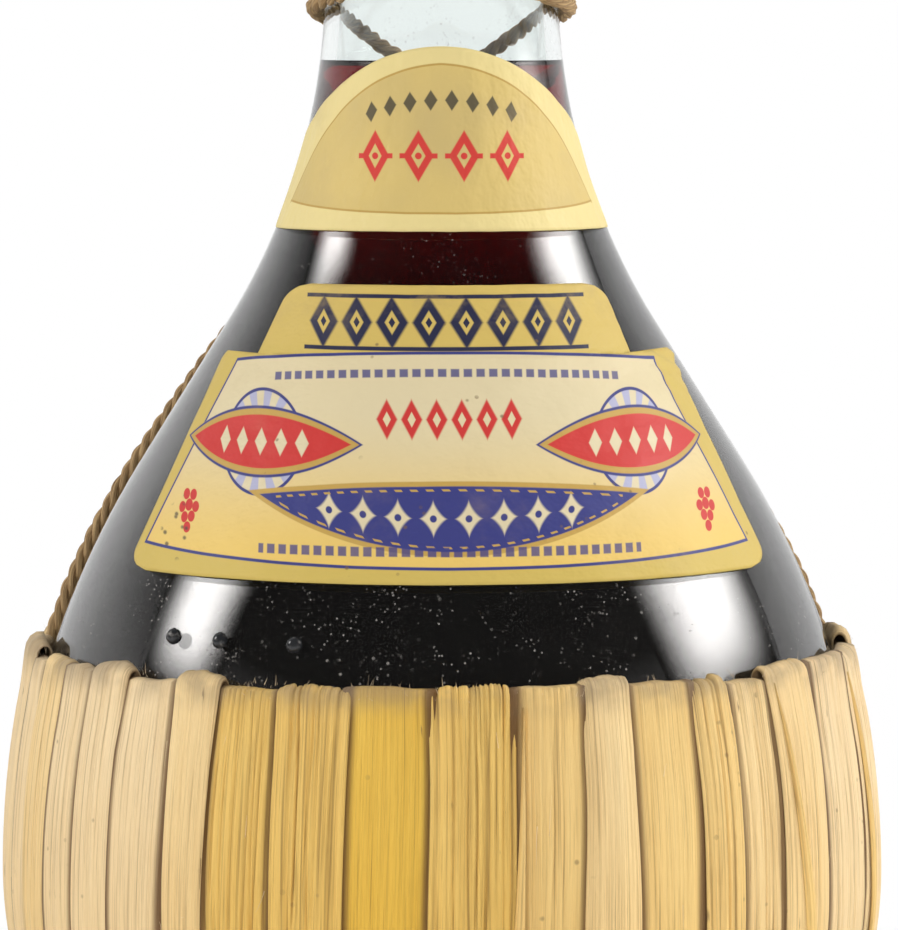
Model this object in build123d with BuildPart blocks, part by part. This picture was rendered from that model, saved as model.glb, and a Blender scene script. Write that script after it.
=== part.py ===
from build123d import *
import math
import os

# Straw-covered wine flask: a blown round-bottomed flask of 1.5 litres that stands in a basket of
# upright straw strips on a straw foot ring, with two straw cords from the basket's rim to the neck.
# Millimetres, +Z up, origin on the table under the middle of the foot, labels facing -Y.

# Glass flask
flask_height = 330.0
flask_lift = 7.0
belly_r = 70.0
bottom_arc = 66.0
belly_arc = 103.2
shoulder_arc = 150.0
throat_arc = 107.0
belly_turn = 22.2
cone_turn = 32.2
neck_turn = 3.0
cone_length = 27.1
glass_wall = 2.6
bore_r = 9.4
bore_length = 48.0
bore_flare = 20.0
lip_r = 15.2
lip_height = 14.0
lip_round = 1.8
bead_r = 1.4
bead_sink = 0.4
bead_z = 110.0
bead_azimuths = (-42.5, -33.7, -21.4)

# Wine, cork and capsule
wine_z = 200.5
wine_gap = 0.1
cork_length = 38.0
cork_chamfer = 0.8
cork_sink = 0.5
cork_gap = 0.1
foil = 0.4
foil_gap = 0.3
skirt_length = 66.0

# Paper labels: heights, and half widths left and right of the middle as seen from the front
paper = 0.2
paper_gap = 0.1
body_label_low_z = 119.4
body_label_high_z = 153.9
body_label_low_x = (-51.0, 53.5)
body_label_high_x = (-35.5, 37.5)
body_label_corner = 3.0
header_z = 165.3
header_low_x = (-29.8, 30.8)
header_high_x = (-24.3, 26.2)
header_corner = 1.5
neck_label_low_z = 173.9
neck_label_side_z = 186.0
neck_label_top_z = 204.0
neck_label_turn = 84.0

# Straw basket
basket_r = 73.6
basket_z = 66.0
basket_upper_arc = 150.0
basket_lower_arc = 66.0
hoop_z = 102.5
hoop_thick = 1.0
straw = 0.4
straw_gap = 0.1
fold_leg = 5.5
seat_gap = 0.3
lining_z = (20.0, 95.5)
lining_thick = 0.6
foot_thick = 15.0
foot_flat = 0.5
foot_tuck = 48.0
foot_band_width = 7.0
foot_band_thick = 1.0
foot_band_start = 2.5

# Strip widths round the basket, clockwise from the front as seen from above, by eye.
strip_width_shares = (
    11.4, 7.9, 7.0, 8.2, 7.1, 6.9, 10.8, 12.9, 9.6, 8.4, 10.2, 9.0, 11.3, 8.1, 9.9, 10.6, 7.8, 9.3, 11.0,
    8.6, 10.1, 9.5, 7.7, 11.6, 9.2, 10.4, 8.3, 9.8, 11.1, 7.0, 7.2, 7.5, 7.6, 8.4, 7.2, 7.9, 9.9, 9.4,
)
first_strip_azimuth = -1.9
strip_overlap = 1.3
strip_fold_gap = 0.4

# Straw cords
cord_thick = 2.8
cord_gap = 0.3
wrap_turns = 5
wrap_pitch = 3.4

# Cord routes from the basket's rim to the front of the neck: azimuth, height, extra standoff in cord
# thicknesses where the right cord rides over the left one.
left_cord_route = (
    (-98.0, 104.8, 0.0), (-98.6, 114.0, 0.0), (-100.2, 124.0, 0.0), (-102.9, 134.0, 0.0),
    (-106.9, 144.0, 0.0), (-112.4, 154.0, 0.0), (-120.0, 164.0, 0.0), (-130.0, 173.4, 0.0),
    (-142.0, 181.8, 0.0), (-156.0, 188.9, 0.0), (-172.0, 194.6, 0.0), (-189.0, 199.3, 0.0),
    (-206.0, 203.3, 0.0), (-223.0, 206.4, 0.0), (-240.0, 208.6, 0.0), (-257.0, 209.8, 0.0),
    (-274.0, 210.7, 0.0), (-291.0, 211.5, 0.0), (-308.0, 212.5, 0.0), (-325.0, 213.8, 0.0),
    (-341.0, 215.3, 0.0),
)
right_cord_route = (
    (103.6, 104.8, 0.0), (105.4, 114.0, 0.0), (108.8, 124.0, 0.0), (112.6, 134.0, 0.0),
    (116.8, 144.0, 0.0), (121.6, 154.0, 0.0), (127.6, 164.0, 0.0), (134.8, 173.4, 0.0),
    (143.6, 181.8, 0.15), (156.0, 188.9, 0.75), (172.0, 194.6, 1.2), (189.0, 199.3, 1.2),
    (206.0, 203.3, 0.75), (223.0, 206.4, 0.15), (240.0, 208.6, 0.0), (257.0, 209.8, 0.0),
    (274.0, 210.7, 0.0), (291.0, 211.5, 0.0), (308.0, 212.5, 0.0), (325.0, 213.8, 0.0),
    (341.0, 215.3, 0.0),
)
arc_share = 0.45

half_turn = 180.0
full_turn = 360.0


def toward(angle, length):
    """Point at a distance and an angle in degrees from the first axis of a sketch."""
    return Vector(length * math.cos(math.radians(angle)), length * math.sin(math.radians(angle)))


# Joints of the flask's outline, from the widest ring of the belly up to the lip
belly_z = flask_lift + bottom_arc
bottom_centre = Vector(belly_r - bottom_arc, belly_z)
belly_centre = Vector(belly_r - belly_arc, belly_z)
shoulder_centre = belly_centre + toward(belly_turn, belly_arc - shoulder_arc)
cone_low = shoulder_centre + toward(cone_turn, shoulder_arc)
cone_high = cone_low + toward(cone_turn + 90, cone_length)
throat_centre = cone_high + toward(cone_turn, throat_arc)
neck_low = throat_centre - toward(neck_turn, throat_arc)
lip_z = flask_height - lip_height
shoulder_z = (belly_centre + toward(belly_turn, belly_arc)).Y


def neck_r(height):
    """Outer radius of the tapering neck at a height."""
    return neck_low.X - (height - neck_low.Y) * math.tan(math.radians(neck_turn))


def flask_r(height):
    """Outer radius of the glass at a height."""
    if height < belly_z:
        return bottom_centre.X + math.sqrt(bottom_arc**2 - (belly_z - height) ** 2)
    if height < shoulder_z:
        return belly_centre.X + math.sqrt(belly_arc**2 - (height - belly_z) ** 2)
    if height < cone_low.Y:
        return shoulder_centre.X + math.sqrt(shoulder_arc**2 - (height - shoulder_centre.Y) ** 2)
    if height < cone_high.Y:
        return cone_low.X - (height - cone_low.Y) * math.tan(math.radians(cone_turn))
    if height < neck_low.Y:
        return throat_centre.X - math.sqrt(throat_arc**2 - (throat_centre.Y - height) ** 2)
    return neck_r(height)


def flask_slope(height):
    """Angle in degrees between the glass and the upright at a height."""
    if height < belly_z:
        return -math.degrees(math.asin((belly_z - height) / bottom_arc))
    if height < shoulder_z:
        return math.degrees(math.asin((height - belly_z) / belly_arc))
    if height < cone_low.Y:
        return math.degrees(math.asin((height - shoulder_centre.Y) / shoulder_arc))
    if height < cone_high.Y:
        return cone_turn
    if height < neck_low.Y:
        return math.degrees(math.asin((throat_centre.Y - height) / throat_arc))
    return neck_turn


def flask_face(inset, top_z):
    """Half section of the flask, its outline moved inwards by an inset, up to a height on the neck."""
    with BuildSketch() as section:
        with BuildLine():
            bottom = CenterArc(bottom_centre, bottom_arc - inset, -90, 90)
            CenterArc(belly_centre, belly_arc - inset, 0, belly_turn)
            shoulder = CenterArc(shoulder_centre, shoulder_arc - inset, belly_turn, cone_turn - belly_turn)
            throat = CenterArc(
                throat_centre, throat_arc + inset, cone_turn + half_turn, neck_turn - cone_turn
            )
            Line(shoulder @ 1, throat @ 0)
            taper = (top_z - (throat @ 1).Y) * math.tan(math.radians(neck_turn))
            top = Vector((throat @ 1).X - taper, top_z)
            Polyline(throat @ 1, top, (0, top_z), (0, (bottom @ 0).Y), bottom @ 0)
        make_face()
    return section.sketch


def upright(azimuth):
    """Plane through the axis of the flask, its first axis pointing out at an azimuth from the front."""
    turn = math.radians(azimuth)
    out = (math.sin(turn), -math.cos(turn), 0)
    return Plane(origin=(0, 0, 0), x_dir=out, z_dir=(-math.cos(turn), -math.sin(turn), 0))


def finish(piece, name):
    """Label a finished piece and write it."""
    piece.part.label = name
    export_step(piece.part, f"parts/{name}.step")


# Glass flask with its lip ring, bore and three moulded beads
with BuildPart() as flask:
    with BuildSketch(Plane.XZ):
        add(flask_face(0, flask_height))
    revolve(axis=Axis.Z)
    with BuildSketch(Plane.XZ):
        with Locations((0, lip_z)):
            Rectangle(lip_r, lip_height, align=(Align.MIN, Align.MIN))
    revolve(axis=Axis.Z)
    lip_edges = flask.edges().filter_by(GeomType.CIRCLE)
    fillet(lip_edges.sort_by(Axis.Z)[-1], lip_round)
    with BuildSketch(Plane.XZ):
        add(flask_face(glass_wall, flask_height - bore_length - bore_flare))
    revolve(axis=Axis.Z, mode=Mode.SUBTRACT)
    flare_z = flask_height - bore_length - bore_flare
    flare_r = neck_r(flare_z) - glass_wall / math.cos(math.radians(neck_turn))
    with BuildSketch(Plane.XZ):
        with BuildLine():
            Polyline(
                (0, flare_z),
                (flare_r, flare_z),
                (bore_r, flask_height - bore_length),
                (bore_r, flask_height),
                (0, flask_height),
                close=True,
            )
        make_face()
    revolve(axis=Axis.Z, mode=Mode.SUBTRACT)
    for bead_azimuth in bead_azimuths:
        with Locations(upright(bead_azimuth) * Pos(flask_r(bead_z) - bead_sink, bead_z, 0)):
            Sphere(bead_r)
finish(flask, "flask")

# Wine, level in the neck
with BuildPart() as wine:
    with BuildSketch(Plane.XZ):
        add(flask_face(glass_wall + wine_gap, flask_height))
        Rectangle(belly_r, wine_z, align=(Align.MIN, Align.MIN), mode=Mode.INTERSECT)
    revolve(axis=Axis.Z)
finish(wine, "wine")

# Cork, driven in to just under the lip
with BuildPart() as cork:
    with BuildSketch(Plane.XY.offset(flask_height - cork_sink - cork_length)):
        Circle(bore_r - cork_gap)
    extrude(amount=cork_length)
    chamfer(cork.edges().filter_by(GeomType.CIRCLE), cork_chamfer)
finish(cork, "cork")

# Capsule: a foil skirt over the lip and neck, with a disc on top
skirt_top_z = flask_height + foil_gap
skirt_low_z = skirt_top_z - skirt_length
skirt_top_r = lip_r + foil_gap
skirt_low_r = neck_r(skirt_low_z) + foil_gap + foil_gap
with BuildPart() as capsule_skirt:
    with BuildSketch(Plane.XZ):
        with BuildLine():
            Polyline(
                (skirt_low_r, skirt_low_z),
                (skirt_low_r + foil, skirt_low_z),
                (skirt_top_r + foil, skirt_top_z),
                (skirt_top_r, skirt_top_z),
                close=True,
            )
        make_face()
    revolve(axis=Axis.Z)
finish(capsule_skirt, "capsule_skirt")

with BuildPart() as capsule_disc:
    with BuildSketch(Plane.XY.offset(skirt_top_z)):
        Circle(skirt_top_r + foil)
    extrude(amount=foil)
finish(capsule_disc, "capsule_disc")


def paper_face(low_z, high_z):
    """Section of a paper that lies on the glass between two heights."""
    with BuildSketch() as section:
        add(flask_face(-paper_gap - paper, flask_height))
        add(flask_face(-paper_gap, flask_height), mode=Mode.SUBTRACT)
        with Locations((0, low_z)):
            Rectangle(belly_r, high_z - low_z, align=(Align.MIN, Align.MIN), mode=Mode.INTERSECT)
    return section.sketch


# Body label: a wide fan of paper on the shoulder, with a narrower header above it
with BuildPart() as body_label:
    with BuildSketch(Plane.XZ):
        add(paper_face(body_label_low_z, header_z))
    revolve(axis=Axis.Z, revolution_arc=-half_turn)
    with BuildSketch(Plane.XZ) as outline:
        with BuildLine():
            Polyline(
                (body_label_low_x[0], body_label_low_z),
                (body_label_low_x[1], body_label_low_z),
                (body_label_high_x[1], body_label_high_z),
                (header_low_x[1], body_label_high_z),
                (header_high_x[1], header_z),
                (header_high_x[0], header_z),
                (header_low_x[0], body_label_high_z),
                (body_label_high_x[0], body_label_high_z),
                close=True,
            )
        make_face()
        fillet(outline.vertices().group_by(Axis.Y)[0], body_label_corner)
        fillet(outline.vertices().group_by(Axis.Y)[-1], body_label_corner)
        fillet(outline.vertices().filter_by_position(Axis.Y, body_label_high_z, body_label_high_z), header_corner)
    extrude(amount=belly_r, mode=Mode.INTERSECT)
finish(body_label, "body_label")

# Neck label: a collar of paper whose upper edge slopes back from the front, so it looks arched
with BuildPart() as neck_label:
    with BuildSketch(upright(-neck_label_turn)):
        add(paper_face(neck_label_low_z, neck_label_top_z))
    revolve(axis=Axis.Z, revolution_arc=2 * neck_label_turn)
    edge_slope = (neck_label_top_z - neck_label_side_z) / flask_r(neck_label_top_z)
    split(bisect_by=Plane(origin=(0, 0, neck_label_side_z), z_dir=(0, edge_slope, 1)), keep=Keep.BOTTOM)
finish(neck_label, "neck_label")

# Centres that the straw follows: the basket's upper and lower arcs and the foot ring
upper_centre = Vector(basket_r - basket_upper_arc, basket_z)
lower_centre = Vector(basket_r - basket_lower_arc, basket_z)
foot_r = foot_thick / 2
foot_z = foot_r - foot_flat
foot_reach = bottom_arc + foot_r + seat_gap
foot_centre = Vector(bottom_centre.X + math.sqrt(foot_reach**2 - (belly_z - foot_z) ** 2), foot_z)
two_layers = straw + straw_gap + straw
fold_r = hoop_thick / 2 + straw_gap + two_layers
rim_turn = math.degrees(math.asin((hoop_z - basket_z) / (basket_upper_arc - fold_r)))
hoop_centre = upper_centre + toward(rim_turn, basket_upper_arc - fold_r)
foot_wrap_r = foot_r + seat_gap + two_layers
run = foot_centre - lower_centre
run_turn = math.degrees(math.atan2(run.Y, run.X))
straight_turn = run_turn + math.degrees(math.acos((basket_lower_arc - foot_wrap_r) / run.length))


def straw_line(depth):
    """Line down the basket's side from the hoop to under the foot, at a depth under its outer face."""
    upper = CenterArc(upper_centre, basket_upper_arc - depth, 0, rim_turn)
    lower = CenterArc(lower_centre, basket_lower_arc - depth, straight_turn, -straight_turn)
    under = CenterArc(foot_centre, foot_wrap_r - depth, -foot_tuck, foot_tuck + straight_turn)
    Line(under @ 1, lower @ 0)
    return upper @ 1, under @ 0


def strip_leg(depth):
    """Section of a strip's outer leg, whose outer face lies at a depth."""
    with BuildSketch() as section:
        with BuildLine():
            outer_top, outer_end = straw_line(depth)
            inner_top, inner_end = straw_line(depth + straw)
            Line(outer_top, inner_top)
            Line(outer_end, inner_end)
        make_face()
    return section.sketch


def strip_fold(depth):
    """Section of a strip's fold over the hoop and of the short leg that it turns in."""
    outer_r = fold_r - depth
    inward = rim_turn + half_turn
    down = toward(rim_turn - 90, fold_leg)
    with BuildSketch() as section:
        with BuildLine():
            outer = CenterArc(hoop_centre, outer_r, rim_turn, half_turn)
            inner = CenterArc(hoop_centre, outer_r - straw, rim_turn, half_turn)
            Line(outer @ 0, inner @ 0)
            leg_outer = hoop_centre + toward(inward, outer_r) + down
            leg_inner = hoop_centre + toward(inward, outer_r - straw) + down
            Polyline(outer @ 1, leg_outer, leg_inner, inner @ 1)
        make_face()
    return section.sketch


# Upright straw strips: every other one lies over its two neighbours, and each folds over the hoop
share_total = sum(strip_width_shares)
strip_start = first_strip_azimuth
for number, width_share in enumerate(strip_width_shares, start=1):
    strip_width = full_turn * width_share / share_total
    layer_depth = 0 if number % 2 else straw + straw_gap
    with BuildPart() as strip:
        with BuildSketch(upright(strip_start - strip_overlap / 2)):
            add(strip_leg(layer_depth))
        revolve(axis=Axis.Z, revolution_arc=strip_width + strip_overlap)
        with BuildSketch(upright(strip_start + strip_fold_gap / 2)):
            add(strip_fold(layer_depth))
        revolve(axis=Axis.Z, revolution_arc=strip_width - strip_fold_gap)
    finish(strip, f"straw_strip_{number:02d}")
    strip_start += strip_width

# Hoop inside the fold of the strips
with BuildPart() as rim_hoop:
    with BuildSketch(Plane.XZ):
        with Locations(hoop_centre):
            Circle(hoop_thick / 2)
    revolve(axis=Axis.Z)
finish(rim_hoop, "rim_hoop")

# Lining of turned-in straw against the glass
with BuildPart() as straw_lining:
    with BuildSketch(Plane.XZ):
        add(flask_face(-seat_gap - lining_thick, flask_height))
        add(flask_face(-seat_gap, flask_height), mode=Mode.SUBTRACT)
        with Locations((0, lining_z[0])):
            lining_height = lining_z[1] - lining_z[0]
            Rectangle(basket_r, lining_height, align=(Align.MIN, Align.MIN), mode=Mode.INTERSECT)
    revolve(axis=Axis.Z)
finish(straw_lining, "straw_lining")

# Foot ring of rolled straw, pressed flat where it stands
with BuildPart() as foot_ring:
    with BuildSketch(Plane.XZ):
        with Locations(foot_centre):
            Circle(foot_r)
        Rectangle(
            foot_centre.X + foot_thick, foot_thick, align=(Align.MIN, Align.MIN), mode=Mode.INTERSECT
        )
    revolve(axis=Axis.Z)
finish(foot_ring, "foot_ring")

# Foot band round the lower ends of the strips
band_along = toward(straight_turn + 90, 1)
band_out = toward(straight_turn, 1)
band_low = foot_centre + band_out * (foot_wrap_r + seat_gap) + band_along * foot_band_start
with BuildPart() as foot_band:
    with BuildSketch(Plane.XZ):
        with BuildLine():
            Polyline(
                band_low,
                band_low + band_along * foot_band_width,
                band_low + band_along * foot_band_width + band_out * foot_band_thick,
                band_low + band_out * foot_band_thick,
                close=True,
            )
        make_face()
    revolve(axis=Axis.Z)
finish(foot_band, "foot_band")


def beside_glass(azimuth, height, standoff):
    """Point at a distance outside the glass, square to its slope."""
    slope = math.radians(flask_slope(height))
    out = flask_r(height) + standoff * math.cos(slope)
    turn = math.radians(azimuth)
    return Vector(out * math.sin(turn), -out * math.cos(turn), height + standoff * math.sin(slope))


def cord_points(route):
    """Route points as places, far enough out for the runs between them to clear the glass."""
    places = []
    for index, (azimuth, height, lift) in enumerate(route):
        ahead = route[min(index + 1, len(route) - 1)][0] - azimuth
        behind = azimuth - route[max(index - 1, 0)][0]
        half_step = math.radians(max(abs(ahead), abs(behind)) / 2)
        sag = flask_r(height) * (1 / math.cos(half_step) - 1)
        standoff = cord_thick / 2 + cord_gap + sag + lift * cord_thick
        places.append(beside_glass(azimuth, height, standoff))
    return places


def cord_radii(places):
    """Arc radius for each corner of a route, as large as its shorter run allows."""
    radii = []
    for before, corner, after in zip(places, places[1:], places[2:]):
        run_in, run_out = corner - before, after - corner
        turn = math.radians(run_in.get_angle(run_out))
        shorter = min(run_in.length, run_out.length)
        radii.append(arc_share * shorter / math.tan(turn / 2))
    return radii


# Two straw cords, each from the basket's rim round the back of the neck to its front
for side, route in (("left", left_cord_route), ("right", right_cord_route)):
    places = cord_points(route)
    radii = cord_radii(places)
    with BuildPart() as cord:
        with BuildLine():
            cord_path = FilletPolyline(*places, radius=radii)
        with BuildSketch(Plane(origin=cord_path @ 0, z_dir=cord_path % 0)):
            Circle(cord_thick / 2)
        sweep()
    finish(cord, f"cord_{side}")
    expected = math.pi * cord_thick**2 / 4 * cord_path.length
    print(f"cord_{side} length {cord_path.length:.1f} radii", [round(r, 1) for r in radii])
    print(f"cord_{side} volume {cord.part.volume:.1f} of {expected:.1f}")

# Neck wrap: one winding of cord round the neck over the ends of the two cords
wrap_low_z = left_cord_route[-1][1] + cord_thick + cord_gap


def wrap_place(turn_share):
    """Place and direction of the winding after a number of turns from the front."""
    height = wrap_low_z + wrap_pitch * turn_share
    out = neck_r(height) + cord_thick / 2 + cord_gap
    turn = math.radians(full_turn * turn_share)
    place = Vector(out * math.sin(turn), -out * math.cos(turn), height)
    narrowing = wrap_pitch * math.tan(math.radians(neck_turn)) / (2 * math.pi)
    direction = Vector(
        out * math.cos(turn) - narrowing * math.sin(turn),
        out * math.sin(turn) + narrowing * math.cos(turn),
        wrap_pitch / (2 * math.pi),
    )
    return place, direction.normalized()


def biarc_middle(start, start_way, end, end_way):
    """Middle point of two arcs that join two places and leave and meet them in given directions."""
    gap = end - start
    both = start_way + end_way
    part = gap.dot(both)
    reach = (math.sqrt(part**2 + 2 * (1 - start_way.dot(end_way)) * gap.length**2) - part) / (
        2 * (1 - start_way.dot(end_way))
    )
    return (start + start_way * reach + end - end_way * reach) * 0.5


wrap_steps = 4 * wrap_turns
wrap_nodes = [wrap_place(step / 4) for step in range(wrap_steps + 1)]
with BuildPart() as neck_wrap:
    with BuildLine() as wrap_path:
        for (start, start_way), (end, end_way) in zip(wrap_nodes, wrap_nodes[1:]):
            middle = biarc_middle(start, start_way, end, end_way)
            first = TangentArc(start, middle, tangent=start_way)
            TangentArc(middle, end, tangent=first % 1)
    with BuildSketch(Plane(origin=wrap_nodes[0][0], z_dir=wrap_nodes[0][1])):
        Circle(cord_thick / 2)
    sweep()
finish(neck_wrap, "neck_wrap")

# Least gap of the winding to itself, between points more than half a turn apart
wrap_samples = 72
turns_seen = [wrap_place(step / wrap_samples)[0] for step in range(wrap_turns * wrap_samples + 1)]
least = min(
    (a - b).length - cord_thick
    for i, a in enumerate(turns_seen)
    for b in turns_seen[i + wrap_samples // 2 : i + 2 * wrap_samples]
)
wrap_length = sum(edge.length for edge in wrap_path.edges())
print(f"neck_wrap length {wrap_length:.1f} volume {neck_wrap.part.volume:.1f}")
print(f"neck_wrap least gap to itself {least:.2f}")
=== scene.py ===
"""Straw-covered wine flask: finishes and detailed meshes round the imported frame.

Lengths are metres in the frame's own axes; sizes given in millimetres are multiplied by MM.
"""

import logging
import math
from dataclasses import dataclass, field
from enum import Enum

import bpy
import numpy as np
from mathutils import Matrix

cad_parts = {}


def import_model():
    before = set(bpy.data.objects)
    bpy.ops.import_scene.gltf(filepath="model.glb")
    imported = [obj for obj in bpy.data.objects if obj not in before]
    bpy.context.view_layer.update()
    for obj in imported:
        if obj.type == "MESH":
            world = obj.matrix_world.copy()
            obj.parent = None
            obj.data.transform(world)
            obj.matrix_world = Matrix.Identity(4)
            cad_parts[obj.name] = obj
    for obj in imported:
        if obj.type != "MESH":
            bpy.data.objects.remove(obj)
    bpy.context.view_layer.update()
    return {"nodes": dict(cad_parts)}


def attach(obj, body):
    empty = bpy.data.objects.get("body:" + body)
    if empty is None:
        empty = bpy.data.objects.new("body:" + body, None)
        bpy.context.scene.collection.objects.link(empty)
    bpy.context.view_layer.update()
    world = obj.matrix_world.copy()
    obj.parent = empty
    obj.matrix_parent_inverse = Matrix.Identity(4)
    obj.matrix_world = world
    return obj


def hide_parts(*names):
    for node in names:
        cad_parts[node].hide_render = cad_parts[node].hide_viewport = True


log = logging.getLogger("flask_scene")
MM = 0.001
LIP_R = 15.2  # outer radius of the flask's lip, in millimetres
AXIS_R = 0.02  # radius in millimetres that stands for a point on the axis
Array = np.ndarray
Triple = tuple[float, float, float]


class Body(Enum):
    """The bodies of the frame that pieces ride on."""

    BOTTLE = "bottle"
    CORK = "cork"
    CAPSULE = "capsule"


# Shader maths


class Sock:
    """A shader socket on which Python's operators add Math nodes."""

    def __init__(self, shader: "Shader", socket) -> None:
        """Wraps one output socket of a shader's tree."""
        self.shader = shader
        self.socket = socket

    def math(self, operation: str, *others, clamp: bool = False) -> "Sock":
        """Adds a Math node.

        Args:
            operation: the node's operation.
            others: further operands, sockets or numbers.
            clamp: whether the result is held between 0 and 1.

        Returns:
            The node's value.
        """
        return self.shader.node("ShaderNodeMath", {"operation": operation, "use_clamp": clamp}, self, *others)

    def __add__(self, other) -> "Sock":
        """Sum."""
        return self.math("ADD", other)

    def __sub__(self, other) -> "Sock":
        """Difference."""
        return self.math("SUBTRACT", other)

    def __mul__(self, other) -> "Sock":
        """Product."""
        return self.math("MULTIPLY", other)

    def __truediv__(self, other) -> "Sock":
        """Quotient."""
        return self.math("DIVIDE", other)

    def __rsub__(self, other) -> "Sock":
        """Number minus socket."""
        return self.shader.node("ShaderNodeMath", {"operation": "SUBTRACT"}, other, self)

    def abs(self) -> "Sock":
        """Absolute value."""
        return self.math("ABSOLUTE")

    def ramp(self, low: float, high: float, kind: str = "SMOOTHSTEP") -> "Sock":
        """Share of the way from low to high, smoothed unless told LINEAR, and held between 0 and 1."""
        return self.shader.node("ShaderNodeMapRange", {"interpolation_type": kind}, self, low, high, 0.0, 1.0)

    def below(self, edge: float, soft: float) -> "Sock":
        """1 where the value is under an edge, 0 above it, with a soft border."""
        return 1 - self.ramp(edge - soft, edge + soft)

    def both(self, other) -> "Sock":
        """The lesser of two masks."""
        return self.math("MINIMUM", other)

    def either(self, other) -> "Sock":
        """The greater of two masks."""
        return self.math("MAXIMUM", other)


class Shader:
    """The node tree of a material or a world, with short calls for its nodes."""

    def __init__(self, name: str, world: bool = False) -> None:
        """Starts an empty node material, or an empty world."""
        self.owner = (bpy.data.worlds if world else bpy.data.materials).new(name)
        self.owner.use_nodes = True
        self.tree = self.owner.node_tree
        self.tree.nodes.clear()
        self.output = self.tree.nodes.new("ShaderNodeOutputWorld" if world else "ShaderNodeOutputMaterial")

    def node(self, kind: str, settings: dict, *inputs, out: int = 0) -> Sock:
        """Adds any node.

        Args:
            kind: the node's type.
            settings: its properties, set before the sockets.
            inputs: a value, colour or Sock for each input in order, or None to leave one.
            out: the index of the output that is returned.

        Returns:
            The chosen output.
        """
        made = self.tree.nodes.new(kind)
        for key, value in settings.items():
            setattr(made, key, value)
        for index, value in enumerate(inputs):
            self.feed(made.inputs[index], value)
        return Sock(self, made.outputs[out])

    def named(self, kind: str, **inputs) -> Sock:
        """Adds a node by its inputs' names, with underscores for spaces, and returns its first output."""
        made = self.tree.nodes.new(kind)
        for key, value in inputs.items():
            self.feed(made.inputs[key.replace("_", " ")], value)
        return Sock(self, made.outputs[0])

    def feed(self, socket, value) -> None:
        """Links a Sock to an input, or sets the input to a number or colour."""
        if value is None:
            return
        if isinstance(value, Sock):
            self.tree.links.new(value.socket, socket)
        elif isinstance(value, tuple) and len(value) == 3 and socket.type == "RGBA":
            socket.default_value = (*value, 1.0)
        else:
            socket.default_value = value

    def position(self) -> Sock:
        """Object coordinates."""
        return self.node("ShaderNodeTexCoord", {}, out=3)

    def uv(self) -> Sock:
        """The piece's own UV map."""
        return self.node("ShaderNodeTexCoord", {}, out=2)

    def rays(self) -> tuple[Sock, Sock, Sock]:
        """Whether the ray comes from the camera, off a gloss, or through glass."""
        return tuple(self.node("ShaderNodeLightPath", {}, out=out) for out in (0, 3, 6))

    def split(self, vector: Sock) -> tuple[Sock, Sock, Sock]:
        """The three parts of a vector."""
        made = self.tree.nodes.new("ShaderNodeSeparateXYZ")
        self.feed(made.inputs[0], vector)
        return tuple(Sock(self, output) for output in made.outputs)

    def stretch(self, vector: Sock, scale: Triple) -> Sock:
        """A vector scaled along each axis."""
        return self.node("ShaderNodeVectorMath", {"operation": "MULTIPLY"}, vector, scale)

    def noise(self, vector: Sock, scale: float, detail: float, rough: float = 0.55) -> Sock:
        """Noise value over a vector."""
        return self.named("ShaderNodeTexNoise", Vector=vector, Scale=scale, Detail=detail, Roughness=rough)

    def specks(self, vector: Sock, scale: float, size: float) -> Sock:
        """Small round specks, 1 inside and 0 outside."""
        distance = self.named("ShaderNodeTexVoronoi", Vector=vector, Scale=scale)
        return distance.below(size, size * 0.5)

    def patchy(self, vector: Sock, scale: float, size: float, patches: float, low: float,
               high: float) -> Sock:
        """Specks that show only in the patches where a coarser noise passes from low to high."""
        return self.specks(vector, scale, size).both(self.noise(self.position(), patches, 2).ramp(low, high))

    def attribute(self, name: str) -> Sock:
        """A float attribute of the mesh."""
        return self.node("ShaderNodeAttribute", {"attribute_name": name}, out=2)

    def mix(self, factor, first, second) -> Sock:
        """A colour between two colours."""
        made = self.tree.nodes.new("ShaderNodeMix")
        made.data_type = "RGBA"
        self.feed(made.inputs[0], factor)
        self.feed(made.inputs[6], first)
        self.feed(made.inputs[7], second)
        return Sock(self, made.outputs[2])

    def bump(self, height: Sock, strength: float, distance: float) -> Sock:
        """A normal tilted by a height."""
        return self.named("ShaderNodeBump", Strength=strength, Distance=distance, Height=height)

    def principled(self, **inputs) -> Sock:
        """A Principled shader."""
        return self.named("ShaderNodeBsdfPrincipled", **inputs)

    def blend(self, factor, first: Sock, second: Sock) -> Sock:
        """A shader between two shaders."""
        return self.node("ShaderNodeMixShader", {}, factor, first, second)

    def surface(self, shader: Sock) -> bpy.types.ID:
        """Ends the material or world with its surface shader."""
        self.feed(self.output.inputs["Surface"], shader)
        return self.owner

    def coat(self, **inputs) -> bpy.types.ID:
        """Ends the material with a Principled shader."""
        return self.surface(self.principled(**inputs))


# Meshes


def grid_faces(rows: int, columns: int, wrap_rows: bool, wrap_columns: bool) -> Array:
    """Quads of a grid whose point (i, j) is number i * columns + j.

    Args:
        rows: points along the first way.
        columns: points along the second way.
        wrap_rows: whether the last row joins the first.
        wrap_columns: whether the last column joins the first.

    Returns:
        An array of quads.
    """
    i = np.arange(rows if wrap_rows else rows - 1)[:, None]
    j = np.arange(columns if wrap_columns else columns - 1)[None, :]
    up, right = (i + 1) % rows, (j + 1) % columns
    quads = np.stack([i * columns + j, i * columns + right, up * columns + right, up * columns + j], -1)
    return quads.reshape(-1, 4)


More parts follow.
